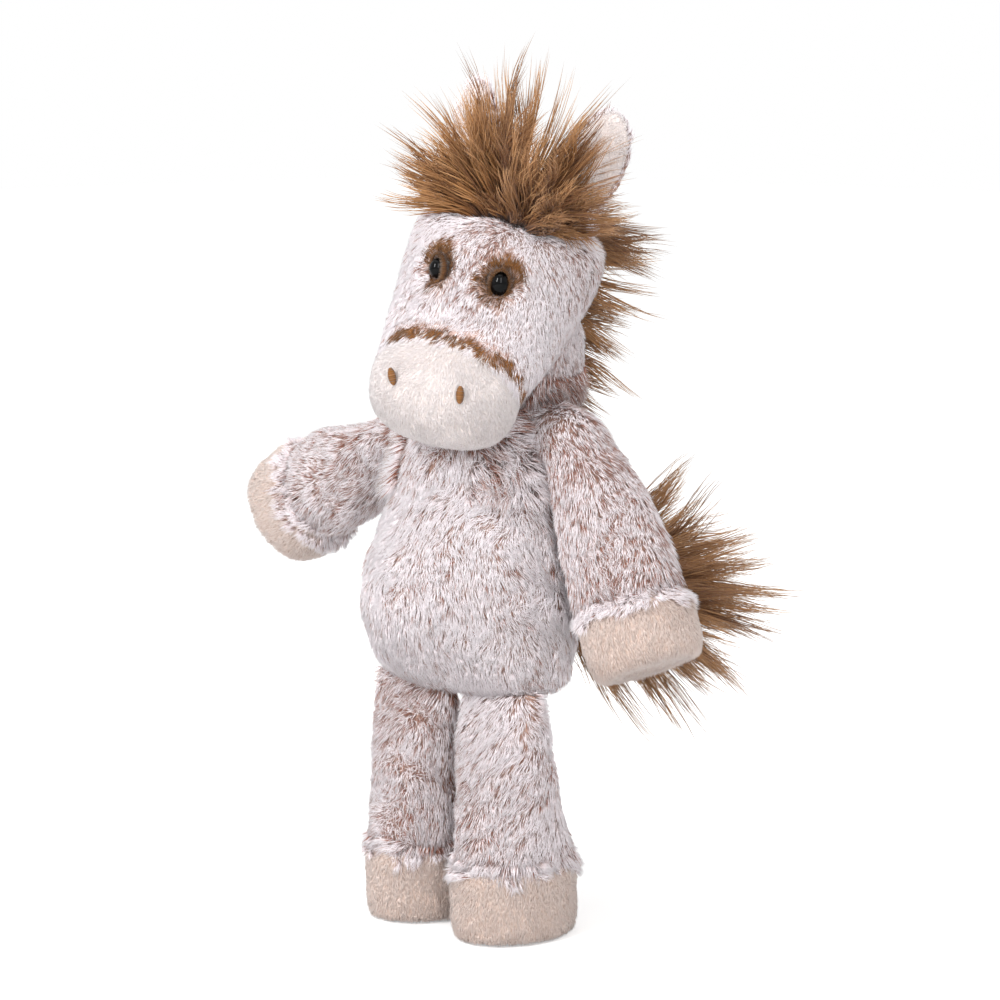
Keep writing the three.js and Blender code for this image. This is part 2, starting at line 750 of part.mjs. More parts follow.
// The mane's sewn root follows the back of the head and neck, half sunk into the plush.
function manePath() {
  const back = headAhead + napeBack + neckHalfDepth;
  const crownShare = 0.55;
  const occiputShare = 0.92;
  return new THREE.CatmullRomCurve3([
    new THREE.Vector3(0, headHalfDepth * crownShare, headHeight),
    new THREE.Vector3(0, headHalfDepth * occiputShare, maneTop),
    new THREE.Vector3(0, back * occiputShare, (maneBottom + maneTop) / 2),
    new THREE.Vector3(0, back, maneBottom),
  ]);
}

const maneFans = [0.45, 1.1]; // radians that the locks lean aside, turn about
const maneRise = 0.45; // slope of the top locks upwards and of the bottom ones downwards

function neckMane(headOutside) {
  const path = manePath();
  const section = new THREE.Shape(new THREE.EllipseCurve(0, 0, maneRadius, maneRadius).getPoints(6));
  const root = new THREE.ExtrudeGeometry(section, { steps: 7, extrudePath: path, bevelEnabled: false });
  let mane = solidOf(root);
  for (let i = 0; i < manePairs; i++) {
    const down = (i + 0.5) / manePairs;
    const fan = maneFans[i % maneFans.length];
    const rise = maneRise * (1 - 2 * down);
    for (const side of [-1, 1]) {
      const direction = new THREE.Vector3(side * Math.sin(fan), Math.cos(fan), rise);
      const length = maneLength * uneven(2 * i + side);
      mane = mane.add(lock(path.getPointAt(down), direction, length, maneRadius, maneRadius));
    }
  }
  return mane.subtract(headOutside);
}

// Tail: a round root that turns in its seat at the back of the torso, and a brush of locks.

const tailSpreads = [0.26, 0.56, 0.86]; // radians that each row's locks lean off the core

function tail() {
  const down = -Math.tan(tailDrop);
  const origin = new THREE.Vector3();
  const backwards = new THREE.Vector3(0, 1, down);
  let brush = solidOf(ball(tailRootRadius, limbSides));
  brush = brush.add(lock(origin, backwards, tailCoreLength, tailRootRadius, 0));
  tailSpreads.forEach((spread, row) => {
    const start = backwards.clone().multiplyScalar(tailRowStart - tailRowStep * row);
    for (let i = 0; i < tailLocksPerRow; i++) {
      const around = (2 * Math.PI * (i + row / 2)) / tailLocksPerRow;
      const aside = new THREE.Vector3(Math.cos(around), 0, Math.sin(around));
      const direction = backwards.clone().addScaledVector(aside, Math.tan(spread));
      const length = (tailLength - start.y) * uneven(i + row * tailLocksPerRow);
      brush = brush.add(lock(start, direction, length, tailLockRadius, tailRootRadius));
    }
  });
  const mesh = part('tail', brush, chestnut);
  mesh.position.copy(tailPivot());
  mesh.rotation.z = -tailSwing;
  return mesh;
}

const horse = new THREE.Group();
horse.add(
  torso(),
  head(),
  arm('left', hangingSpread, leftArmForward),
  arm('right', rightArmSpread, rightArmForward),
  leg('left'),
  leg('right'),
  tail(),
);

// The origin is on the floor, under the middle of the whole horse.
const bounds = new THREE.Box3().setFromObject(horse, true);
const middle = bounds.getCenter(new THREE.Vector3());
horse.position.set(-middle.x, -middle.y, -bounds.min.z);

export default horse;
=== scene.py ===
"""The plush horse: padded forms under combed pile, locks of hair, eyes and stitching, in a plain studio."""

import json
import zlib
from collections import namedtuple
from math import ceil, cos, pi, radians, sin, tan

import bpy
import numpy as np
from mathutils import Euler, Matrix, Vector
from mathutils.bvhtree import BVHTree
from mathutils.kdtree import KDTree


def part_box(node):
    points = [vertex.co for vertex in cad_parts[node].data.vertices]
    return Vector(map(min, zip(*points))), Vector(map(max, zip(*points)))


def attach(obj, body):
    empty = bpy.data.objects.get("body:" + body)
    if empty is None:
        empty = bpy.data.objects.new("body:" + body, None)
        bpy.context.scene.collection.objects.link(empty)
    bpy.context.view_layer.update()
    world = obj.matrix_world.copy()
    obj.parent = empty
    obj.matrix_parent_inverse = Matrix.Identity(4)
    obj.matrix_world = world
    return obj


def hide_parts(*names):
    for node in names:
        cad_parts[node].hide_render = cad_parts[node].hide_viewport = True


MM = 0.001

# The toy's sides, with their signs along X.
SIDES = {"left": 1, "right": -1}

# The toy's own frame stands on the floor between the legs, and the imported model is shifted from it.
# Millimetres and radians.
TORSO_FRONT = 41.5
HEAD_ORIGIN = (-6.8, 2.5, 168.3)
HEAD_ROLL, HEAD_YAW = 0.21, 0.39

# Features in the head's own frame, front towards -Y, in millimetres and radians; the bridle's ends in metres.
SEAM_POINT, SEAM_SLOPE, SEAM_RISE = (0, -56, 67), 0.85, 1.8
BRIDLE_MIDDLE, BRIDLE_HALF_WIDTH, BRIDLE_ENDS = 2.2, 1.9, (-0.023, 0.033)
EYE_RADIUS, EYE_DOME, EYE_TURN, EYE_TILT = 4.6, 3.4, 0.42, 0.1
EYE_OVAL = {"left": (0.74, 0.98), "right": (0.66, 0.82)}
PATCH_BREADTH, PATCH_HEIGHT, PATCH_RISE = {"left": 7.8, "right": 5.9}, 8.6, 1.6
CHEEK_SEAM_BACK, CHEEK_SEAM_MIDDLE, CHEEK_SEAM_HALF = 6, 82, 13
NOSTRIL_LEAN, NOSTRIL_TURN, NOSTRIL_STITCHES = 0.15, -0.3, 22
FORELOCK_FORWARD, FORELOCK_HEIGHT, FORELOCK_HALF_WIDTH = 15, 107.5, 15
MANE_PATH = [(0, 19.8, 106), (0, 33, 93), (0, 43.7, 64.5), (0, 47.5, 36)]

# Long hair: how many locks, the length of the longest ones and how deep they root in millimetres, and how far
# the tail swings aside and drops in radians.
FORELOCK_ROWS, FORELOCK_PER_ROW, FORELOCK_LENGTH = 6, 22, 70
FRINGE_LOCKS = 30
MANE_LOCKS, MANE_LENGTH, MANE_DEPTH = 124, 58, 1.2
TAIL_LOCKS, TAIL_LENGTH, TAIL_CORE, TAIL_DEPTH = 134, 104, 32, 6
TAIL_SWING, TAIL_DROP = 0.47, 0.1

# How far the rims of the hoofs lean in under the hems, in millimetres.
RIM_TUCK = 2.6

# Camera and light.
CAMERA_AZIMUTH, CAMERA_ELEVATION = 44.0, 8.0
CAMERA_LENS, CAMERA_SENSOR, CAMERA_DISTANCE = 110.0, 36.0, 1150.0
CAMERA_TARGET, CAMERA_ASIDE = (0, 0, 163), 10.94
LIT_HEIGHT, WORLD_STRENGTH = 0.19, 0.8
FLOOR_REACH, FLOOR_SHADE, FLOOR_GLOW = 6.0, 0.8, 0.42

# Each softbox: its place right of, above and before the toy for the camera, its size in metres, its watts.
SOFTBOXES = {
    "key_softbox": ((-0.8, 0.5, 1.1), (0.16, 0.7), 16.0),
    "fill_softbox": ((0.3, 0.35, 1.25), (0.22, 1.0), 6.0),
}
TOP_HEIGHT, TOP_SIZE, TOP_POWER = 1.3, (1.2, 1.2), 7.0

# Tones of the strands: the first number of the Strand map. Paler pile has higher tones, the lowest one is a
# brown fleck, and above a half it is the pile of the brown patches.
FLECK_TONE = 0.02
FROST_TONES, LIMB_TONES = (0.12, 0.36), (0.055, 0.16)
FACE_TONES, NECK_TONES = (0.2, 0.44), (0.05, 0.14)
# The lashes take the darkest browns: painted shade round the eyes.
LASH_TONES, BROWN_TONES = (0.545, 0.61), (0.56, 0.96)
PLAIN_TONES = (0.04, 0.96)

# Kinds of pile: strands to the square millimetre, their length and radius in millimetres, how steeply they
# rise, how far each strays and whole areas swing aside, how far they are drawn into clumps and how many to a
# clump, their tones, and the share of brown flecks.
Pile = namedtuple("Pile", "density length radius rise stray swing clump clump_size tones flecks")
PILES = {
    "torso": Pile(3.4, 6.4, 0.135, 0.26, 0.3, 0.45, 0.4, 10, FROST_TONES, 0.05),
    "shoulder": Pile(2.2, 13.0, 0.17, 0.7, 0.4, 0.45, 0.5, 18, NECK_TONES, 0.35),
    "limb": Pile(3.4, 6.4, 0.135, 0.26, 0.3, 0.45, 0.42, 10, LIMB_TONES, 0.13),
    "hem": Pile(4.6, 6.2, 0.14, 0.45, 0.3, 0.45, 0.6, 24, LIMB_TONES, 0.1),
    "edge": Pile(3.4, 8.5, 0.14, 0.95, 0.35, 0.45, 0.6, 22, LIMB_TONES, 0.1),
    "hoof": Pile(4.2, 3.4, 0.135, 0.35, 0.18, 0.2, 0.2, 9, PLAIN_TONES, 0),
    "face": Pile(3.8, 5.2, 0.14, 0.28, 0.3, 0.3, 0.35, 7, FACE_TONES, 0.025),
    "neck": Pile(1.6, 9.0, 0.17, 0.5, 0.4, 0.45, 0.5, 18, NECK_TONES, 0.8),
    "muzzle": Pile(7.0, 2.9, 0.11, 0.3, 0.12, 0.12, 0.05, 12, PLAIN_TONES, 0),
    "ear": Pile(3.0, 4.6, 0.15, 0.4, 0.3, 0.45, 0.5, 10, FROST_TONES, 0.07),
    "lining": Pile(5.0, 2.2, 0.12, 0.5, 0.3, 0.3, 0.15, 12, PLAIN_TONES, 0),
}

# Places between which a share rises from 0 to 1, or falls where the first is the larger. Metres.
BANDS = {
    "chin": (0.165, 0.19), "pit_aside": (0.034, 0.044), "pit_height": (0.12, 0.15),
    "shoulder": (0.17, 0.195), "hip": (0.066, 0.086), "below_hip_top": (0.1, 0.09),
    "nape": (0.06, 0.045), "nape_back": (-0.016, 0.0), "brow": (0.013, 0.004), "brow_height": (0.07, 0.085),
    "cheek_back": (-0.03, -0.005), "cheek_aside": (0.015, 0.025),
    "patch_edge": (0.0055, 0.0085), "eye_parting": (0.0105, 0.006), "eye_socket": (0.016, 0.009),
    "torso_top": (0.175, 0.195), "neck_form": (0.062, 0.04), "neck_form_back": (-0.01, 0.004),
    "sleeve_root": (0.022, 0.008), "hoof_rim": (-0.0035, 0.0005), "muzzle_raise": (0.001, -0.008),
    "leg_top": (0.07, 0.088), "arm_top": (0.178, 0.2), "arm_root": (0.165, 0.2),
}


def seed_of(name):
    return zlib.crc32(name.encode())


def unit(vectors):
    return vectors / np.maximum(np.linalg.norm(vectors, axis=-1, keepdims=True), 1e-12)


def smoothstep(low, high, value):
    share = np.clip((value - low) / (high - low), 0, 1)
    return share * share * (3 - 2 * share)


def band(name, value):
    return smoothstep(*BANDS[name], value)


def wander(points, size, seed):
    """A smooth field of vectors about one long that swings over the given size."""
    chance = np.random.default_rng(seed)
    drift = np.zeros_like(points)
    waves = 7
    for _ in range(waves):
        wave = unit(chance.normal(size=3)) * 2 * np.pi / size * chance.uniform(0.6, 1.5)
        drift += np.sin(points @ wave + chance.uniform(0, 6.28))[:, None] * chance.normal(size=3)
    return drift / waves**0.5


# Frames


def toy_matrix():
    low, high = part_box("torso_skin")
    return Matrix.Translation(((low.x + high.x) / 2, low.y + TORSO_FRONT * MM, 0))


def head_matrix():
    turn = Euler((0, HEAD_ROLL, HEAD_YAW), "XYZ").to_matrix().to_4x4()
    return toy_matrix() @ Matrix.Translation(Vector(HEAD_ORIGIN) * MM) @ turn


def moved(matrix, points):
    m = np.array(matrix)
    return points @ m[:3, :3].T + m[:3, 3]


def moved_paths(matrix, paths):
    return moved(matrix, paths.reshape(-1, 3)).reshape(paths.shape)


def turned(matrix, vectors):
    return vectors @ np.array(matrix)[:3, :3].T


def from_middle(points):
    """Places from the toy's middle on the floor."""
    return points - np.array(toy_matrix().translation)


def in_head(points):
    """Places in the head's own frame."""
    return moved(head_matrix().inverted(), points)


def node_points(node):
    return mesh_arrays(frame["nodes"][node].data)[0]


def box_middle(node):
    low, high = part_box(node)
    return np.array((low + high) / 2)


def eye_place(side):
    """The eye's frame: its rim's middle, with -Y out of the face."""
    turn = head_matrix().to_3x3() @ Euler((EYE_TILT, 0, SIDES[side] * EYE_TURN), "XYZ").to_matrix()
    out = np.array(turn @ Vector((0, -1, 0)))
    points = node_points(f"{side}_eye")
    depth = points @ out
    top = points[depth > depth.max() - 1e-5].mean(0)
    return Matrix.Translation(Vector(top - out * EYE_DOME * MM)) @ turn.to_4x4()


def from_eye(side, points):
    return points - np.array(eye_place(side).translation)


def from_eyes(points):
    """How far places lie from the nearer eye."""
    return np.minimum(*(np.linalg.norm(from_eye(side, points), axis=1) for side in SIDES))


def seam_height(local):
    """How far places in the head's frame lie above the bridle seam's plane, in metres."""
    normal = np.array([0, sin(SEAM_SLOPE), cos(SEAM_SLOPE)])
    return (local - np.array(SEAM_POINT) * MM) @ normal - SEAM_RISE * MM


def limb_axis(label):
    return unit(box_middle(f"{label}_hoof_sole") - box_middle(f"{label}_sleeve"))


def limb_outwards(label):
    """A rule for the direction from a limb's axis out to places."""
    axis, middle = limb_axis(label), box_middle(f"{label}_hoof_sole")

    def outwards(points):
        off = points - middle
        return unit(off - (off @ axis)[:, None] * axis)
    return outwards


def sleeve_end(label):
    """A rule for how far places lie above the seam between sleeve and hoof, along the limb."""
    axis = limb_axis(label)
    end = (node_points(f"{label}_sleeve") @ axis).max()
    return lambda places: end - places @ axis


# Forms: triangle meshes as arrays, with a normal at each point


class Form:
    def __init__(self, points, triangles):
        self.points, self.triangles = points, triangles
        self.refresh()

    def refresh(self):
        a, b, c = (self.points[self.triangles[:, k]] for k in range(3))
        cross = np.cross(b - a, c - a)
        self.areas = np.linalg.norm(cross, axis=1) / 2
        normals = np.zeros_like(self.points)
        for k in range(3):
            np.add.at(normals, self.triangles[:, k], cross)
        self.normals = unit(normals)

    def tree(self):
        return BVHTree.FromPolygons(self.points.tolist(), self.triangles.tolist())

    def smoothed(self, rounds, factor=0.5):
        edges = np.concatenate([self.triangles[:, pair] for pair in ([0, 1], [1, 2], [2, 0])])
        count = np.bincount(edges.ravel(), minlength=len(self.points))[:, None]
        for _ in range(rounds):
            total = np.zeros_like(self.points)
            np.add.at(total, edges[:, 0], self.points[edges[:, 1]])
            np.add.at(total, edges[:, 1], self.points[edges[:, 0]])
            self.points = self.points + factor * (total / np.maximum(count, 1) - self.points)
        self.refresh()
        return self


def mesh_arrays(mesh):
    points = np.zeros(len(mesh.vertices) * 3)
    mesh.vertices.foreach_get("co", points)
    mesh.calc_loop_triangles()
    triangles = np.zeros(len(mesh.loop_triangles) * 3, np.int64)
    mesh.loop_triangles.foreach_get("vertices", triangles)
    return points.reshape(-1, 3), triangles.reshape(-1, 3)


def kept_part(points, triangles, kept):
    """The kept points, and the triangles between them."""
    index = np.cumsum(kept) - 1
    return points[kept], index[triangles[kept[triangles].all(axis=1)]]


def widest_part(points, triangles):
    """The loose part with the largest box: the outside of a hollow form."""
    label = np.arange(len(points))
    edges = np.concatenate([triangles[:, [0, 1]], triangles[:, [1, 2]]])
    while True:
        low = np.minimum(label[edges[:, 0]], label[edges[:, 1]])
        before = label.copy()
        np.minimum.at(label, edges[:, 0], low)
        np.minimum.at(label, edges[:, 1], low)
        label = label[label]
        if (label == before).all():
            break
    parts = np.unique(label)
    reaches = [np.prod(np.ptp(points[label == part], axis=0)) for part in parts]
    return kept_part(points, triangles, label == parts[int(np.argmax(reaches))])


def part_of(form, kept_points):
    """The faces of a form whose three points are all kept."""
    triangles = form.triangles[kept_points[form.triangles].all(axis=1)]
    used = np.zeros(len(form.points), bool)
    used[triangles] = True
    return Form(*kept_part(form.points, triangles, used))


def remeshed(nodes, voxel, rounds, inset, share=None):
    """The joined outside of some CAD nodes as one even skin, smoothed and drawn in by an inset's share."""
    all_points, all_triangles, start = [], [], 0
    for node in nodes:
        points, triangles = mesh_arrays(frame["nodes"][node].data)
        all_points.append(points)
        all_triangles.append(triangles + start)
        start += len(points)
    mesh = bpy.data.meshes.new("form")
    mesh.from_pydata(np.concatenate(all_points).tolist(), [], np.concatenate(all_triangles).tolist())
    holder = placed("form", mesh)
    weld = holder.modifiers.new("weld", "WELD")
    weld.merge_threshold = 1e-6
    remesh = holder.modifiers.new("remesh", "REMESH")
    remesh.mode = "VOXEL"
    remesh.voxel_size = voxel * MM
    bpy.context.view_layer.update()
    graph = bpy.context.evaluated_depsgraph_get()
    made = bpy.data.meshes.new_from_object(holder.evaluated_get(graph), depsgraph=graph)
    form = Form(*widest_part(*mesh_arrays(made)))
    bpy.data.objects.remove(holder)
    bpy.data.meshes.remove(made)
    form.smoothed(rounds)
    part = 1.0 if share is None else share(form.points, form.normals)[:, None]
    form.points = form.points - form.normals * inset * MM * part
    form.refresh()
    return form.smoothed(3)


def torso_share(points, normals):
    """The underside, where the legs are sewn on, and the shoulders keep most of their fullness."""
    under = smoothstep(0.25, 0.8, -normals[:, 2])
    return 1 - 0.9 * under - 0.6 * (1 - under) * band("torso_top", points[:, 2])


def head_share(points, normals):
    """The neck keeps most of its fullness, so that it sits on the shoulders, and so do the eyes' sockets."""
    local = in_head(points)
    neck = band("neck_form", local[:, 2]) * band("neck_form_back", local[:, 1])
    return 1 - np.maximum(0.7 * neck, 0.9 * band("eye_socket", from_eyes(points)))


def sleeve_share(label):
    """A sleeve isn't drawn in where it meets its hoof or the body."""
    axis = limb_axis(label)
    top = (node_points(f"{label}_sleeve") @ axis).min()

    def share(places, normals):
        end = smoothstep(0.3, 0.8, normals @ axis)
        return 1 - np.maximum(end, 0.8 * band("sleeve_root", places @ axis - top))
    return share


def hoof_share(label):
    """Only the outside of a hoof is drawn in, and not its open rim."""
    axis, outwards = limb_axis(label), limb_outwards(label)

    def share(places, normals):
        side = smoothstep(-0.1, 0.3, (normals * outwards(places)).sum(1))
        sole = smoothstep(0.4, 0.8, normals @ axis)
        return np.maximum(side, sole)
    return share


def settled(form, kind):
    """Legs reach up into the underside, and arms round off where they hang from the shoulder."""
    points = form.points
    if kind == "leg":
        points[:, 2] += 0.006 * band("leg_top", points[:, 2])
    else:
        top = band("arm_top", points[:, 2])
        middle = toy_matrix().translation.x
        outwards = np.sign(points[:, 0] - middle)
        off = np.abs(points[:, 0] - middle)
        points[:, 0] -= outwards * band("arm_root", points[:, 2]) * 0.007
        points[:, 2] -= 0.25 * top * np.maximum(off - 0.034, 0)
    form.refresh()
    return form


def tucked(form, label):
    """The open rim of a hoof leans in under the sleeve's hem."""
    rim = band("hoof_rim", sleeve_end(label)(form.points))[:, None]
    form.points = form.points - limb_outwards(label)(form.points) * RIM_TUCK * MM * rim
    form.refresh()
    return form


def make_forms():
    """The forms under the pile, each drawn in from the CAD surface by what its pile stands up."""
    forms = {
        "torso": remeshed(["torso_skin", "torso_filling"], 3.0, 8, 2.6, torso_share),
        "head": remeshed(["head_skin", "head_filling", "muzzle_skin"], 2.5, 8, 2.4, head_share),
    }
    for side in SIDES:
        for kind in ("arm", "leg"):
            label = f"{side}_{kind}"
            sleeve = remeshed([f"{label}_sleeve", f"{label}_filling"], 2.5, 8, 2.6, sleeve_share(label))
            hoof = remeshed([f"{label}_hoof_wall", f"{label}_hoof_sole"], 2.0, 5, 1.5, hoof_share(label))
            forms[label], forms[f"{label}_hoof"] = settled(sleeve, kind), tucked(hoof, label)
        forms[f"{side}_ear"] = remeshed([f"{side}_ear_back"], 1.0, 6, 1.0)
        forms[f"{side}_ear_lining"] = remeshed([f"{side}_ear_lining"], 1.0, 4, 0.6)
    return forms


# Pieces


def placed(name, data):
    """A new object in the scene."""
    thing = bpy.data.objects.new(name, data)
    bpy.context.scene.collection.objects.link(thing)
    return thing


def add_piece(name, points, triangles, material, body, maps=()):
    mesh = bpy.data.meshes.new(name)
    mesh.vertices.add(len(points))
    mesh.vertices.foreach_set("co", points.astype(np.float32).ravel())
    mesh.loops.add(triangles.size)
    mesh.loops.foreach_set("vertex_index", triangles.astype(np.int32).ravel())
    mesh.polygons.add(len(triangles))
    mesh.polygons.foreach_set("loop_start", np.arange(0, triangles.size, 3, dtype=np.int32))
    mesh.polygons.foreach_set("use_smooth", np.ones(len(triangles), bool))
    mesh.update(calc_edges=True)
    for map_name, values in maps:
        mesh.uv_layers.new(name=map_name).data.foreach_set("uv", values.astype(np.float32).ravel())
    mesh.materials.append(material)
    piece = placed(name, mesh)
    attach(piece, body)
    return piece


def dressed(name, form, groups, materials, body, slot, nodes, base=None):
    """A padded form that stands for CAD nodes, and the groups of strands on it."""
    material = materials[base or f"{slot}_base"]
    piece = add_piece(f"{name}_backing", form.points, form.triangles, material, body)
    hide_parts(*nodes)
    pile_pieces(f"{name}_pile", gathered(groups), materials, body, slot)


class Strands:
    """Paths of hairs, each with a radius at its inner points and a tone."""

    def __init__(self, paths, radii, tones):
        self.paths, self.radii, self.tones = paths, radii, tones

    def only(self, chosen):
        return Strands(self.paths[chosen], self.radii[chosen], self.tones[chosen])


def gathered(groups):
    return Strands(*(np.concatenate([getattr(group, part) for group in groups])
                     for part in ("paths", "radii", "tones")))


def strand_mesh(strands, along):
    """Closed three-sided spindles along the paths, with the tone and the place along as their map."""
    paths, count, rings = strands.paths, len(strands.paths), strands.paths.shape[1] - 2
    heading = unit(paths[:, -1] - paths[:, 0])
    side = unit(np.cross(heading, np.array([0.31, 0.17, 0.93])))
    across = np.cross(heading, side)
    points = np.zeros((count, 2 + 3 * rings, 3))
    points[:, 0], points[:, -1] = paths[:, 0], paths[:, -1]
    for ring in range(rings):
        for corner in range(3):
            angle = 2 * pi * corner / 3
            off = side * cos(angle) + across * sin(angle)
            points[:, 1 + 3 * ring + corner] = paths[:, ring + 1] + off * strands.radii[:, ring, None]
    faces, top, last = [], 1 + 3 * (rings - 1), 1 + 3 * rings
    for corner in range(3):
        after = (corner + 1) % 3
        faces.append((0, 1 + after, 1 + corner))
        for ring in range(rings - 1):
            a, b = 1 + 3 * ring + corner, 1 + 3 * ring + after
            faces += [(a, b, a + 3), (b, b + 3, a + 3)]
        faces.append((top + corner, top + after, last))
    faces = np.array(faces)
    tone_of = np.array([0.0] + [-1.0, 0.0, 1.0] * rings + [0.0])
    along_of = np.array([along[0]] + [along[r + 1] for r in range(rings) for _ in range(3)] + [along[-1]])
    triangles = (np.arange(count)[:, None, None] * points.shape[1] + faces).reshape(-1, 3)
    shares = np.zeros((count, len(faces), 3, 2))
    shares[..., 0] = strands.tones[:, None, None] + tone_of[faces] * 0.004
    shares[..., 1] = along_of[faces]
    return points.reshape(-1, 3), triangles, shares.reshape(-1, 2)


# A strand of pile leaves the backing steeply and bends at a share of its length.
BEND, BEYOND = 0.42, 0.58
PILE_ALONG = (0.0, BEND, 1.0)
LARGEST_PIECE = 190000


def pile_pieces(name, strands, materials, body, slot, along=PILE_ALONG):
    """Strands as pieces of a moderate number of triangles, split by height."""
    per_strand = 6 * (strands.paths.shape[1] - 2)
    pieces = max(1, ceil(len(strands.paths) * per_strand / LARGEST_PIECE))
    order = np.argsort(strands.paths[:, 0, 2], kind="stable")
    made = []
    for number, chosen in enumerate(np.array_split(order, pieces)):
        points, triangles, shares = strand_mesh(strands.only(chosen), along)
        label = f"{name}_{number + 1}" if pieces > 1 else name
        maps = (("Strand", shares), ("OFBake", shares))
        made.append(add_piece(label, points, triangles, materials[slot], body, maps))
    return made


# Pile

# Roots deeper than the first inside a form that stays close are left out, and deeper than the second inside
# one that moves away at some poses. Metres.
BURIED, BURIED_DEEP = 0.0015, 0.01

# Roots are sunk into their form by a little, and nothing comes closer to the floor than a gap. Metres.
SUNK, FLOOR_GAP = 0.0004, 0.0003


def roots_on(form, density, seed):
    """Random places on a form, so many to a square millimetre, with their normals."""
    chance = np.random.default_rng(seed)
    count = int(form.areas.sum() / MM**2 * density)
    face = np.searchsorted(np.cumsum(form.areas) / form.areas.sum(), chance.random(count))
    face = np.minimum(face, len(form.triangles) - 1)
    a, b = chance.random(count), chance.random(count)
    over = a + b > 1
    a[over], b[over] = 1 - a[over], 1 - b[over]
    weights = np.stack([1 - a - b, a, b], axis=1)[:, :, None]
    corners = form.triangles[face]
    return (form.points[corners] * weights).sum(1), unit((form.normals[corners] * weights).sum(1))


def clear_of(points, forms, depth):
    """Which points lie outside all the forms, or inside one by less than a depth."""
    clear = np.ones(len(points), bool)
    for form in forms:
        low, high = form.points.min(0), form.points.max(0)
        near = np.flatnonzero(clear & (points > low).all(1) & (points < high).all(1))
        tree = form.tree()
        for i in near:
            spot, normal, _, _ = tree.find_nearest(points[i])
            if spot is not None and (Vector(points[i]) - spot).dot(normal) < -depth:
                clear[i] = False
    return clear


def clumped(points, tips, share, size, seed):
    """Tips drawn towards the tip of the nearest of some leading strands, and which one leads each."""
    chance = np.random.default_rng(seed)
    leaders = chance.choice(len(points), max(1, int(len(points) / size)), replace=False)
    tree = KDTree(len(leaders))
    for number, leader in enumerate(leaders):
        tree.insert(points[leader], number)
    tree.balance()
    nearest = np.array([tree.find(p)[1] for p in points.tolist()])
    goal = tips[leaders][nearest] + (points - points[leaders][nearest]) * 0.25
    return tips + (goal - tips) * share[:, None], nearest


def along_form(vectors, normals):
    return unit(vectors - normals * (vectors * normals).sum(1, keepdims=True))


def lie_of(roots, normals, flow, pile, chance, seed):
    """Which way the strands lie along the form, and how steeply they rise from it."""
    lay, swing = along_form(flow(roots), normals), pile.swing
    lay = lay + swing * wander(roots, 0.028, seed + 2) + 0.5 * swing * wander(roots, 0.009, seed + 3)
    lay = along_form(lay + pile.stray * chance.normal(size=roots.shape), normals)
    lift = 1 + 0.35 * wander(roots, 0.012, seed + 4)[:, :1] + 0.25 * chance.normal(size=(len(roots), 1))
    return lay, np.clip(pile.rise * lift, 0.1, 1.4)


def tones_of(roots, cluster, pile, shade_and_brown, brown, chance, seed):
    """A tone for each strand, of its cluster and of its own, with flecks and brown patches."""
    count = len(roots)
    share = pile.flecks * (1 + 0.7 * wander(roots, 0.045, seed + 7)[:, 0])
    # Brown flecks are commoner where a share is given: partly painted shade, partly the pile's own brown.
    if shade_and_brown is not None:
        share = share * (1 + 4 * shade_and_brown(roots))
    of_cluster = chance.random((cluster.max() + 1, 2))[cluster]
    tone = np.clip(0.6 * of_cluster[:, 0] + 0.4 * chance.random(count), 0, 1)
    values = pile.tones[0] + (pile.tones[1] - pile.tones[0]) * tone
    alone = chance.random(count)
    fleck = (alone < 0.45 * share) | ((of_cluster[:, 1] < share) & (alone < 0.6))
    values = np.where(fleck, FLECK_TONE, values)
    if brown is not None:
        # The brown patches get darker close to the eyes: painted shade.
        shade = tone * (0.35 + 0.5 * band("patch_edge", from_eyes(roots)))
        values = np.where(brown, BROWN_TONES[0] + (BROWN_TONES[1] - BROWN_TONES[0]) * shade, values)
    return values


def combed(name, kind, form, flow, hidden=(), moving=(), patch=None, where=None, shade_and_brown=None):
    """Pile on a form: strands that rise a little and lie along a flow, drawn together into clumps."""
    seed, pile = seed_of(name), PILES[kind]
    chance = np.random.default_rng(seed)
    roots, normals = roots_on(form, pile.density, seed + 1)
    if where is not None:
        chosen = where(roots, normals)
        roots, normals = roots[chosen], normals[chosen]
    clear = clear_of(roots, hidden, BURIED) & clear_of(roots, moving, BURIED_DEEP)
    roots, normals = roots[clear], normals[clear]
    count = len(roots)
    lay, lift = lie_of(roots, normals, flow, pile, chance, seed)
    reach = pile.length * MM * chance.uniform(0.75, 1.15, (count, 1))
    reach = reach * (1 + 0.12 * wander(roots, 0.02, seed + 5)[:, :1])
    brown = None
    if patch is not None:
        brown = patch(roots, chance)
        far, near = (patch(roots + lay * reach * share, chance) for share in (0.8, 0.45))
        over = ~brown & (far | near)
        reach[brown] *= 0.85
        reach[over] *= 0.42
    heading = unit(normals * lift + lay)
    first = unit(normals * (lift + 0.45) + lay)
    start = roots - normals * SUNK
    free = start + reach * (BEND * first + BEYOND * heading)
    drawn = pile.clump * chance.uniform(0.5, 1.2, count)
    tips, cluster = clumped(roots, free, drawn, pile.clump_size, seed + 6)
    middle = start + reach * BEND * first + (tips - free) * 0.35
    paths = np.stack([start, middle, tips], axis=1)
    paths[..., 2] = np.maximum(paths[..., 2], FLOOR_GAP)
    radii = np.full((count, 1), pile.radius * MM) * chance.uniform(0.7, 1.2, (count, 1))
    return Strands(paths, radii, tones_of(roots, cluster, pile, shade_and_brown, brown, chance, seed))


# Long hair

HAIR_RINGS = 6
HAIR_ALONG = tuple(np.linspace(0, 1, HAIR_RINGS + 2))
HAIR_RADII = ([0, 0.4, 1], [0.26, 0.24, 0.08])
LOCK_PROFILE = ([0, 0.35, 0.75, 1], [0.75, 1, 0.75, 0.4])


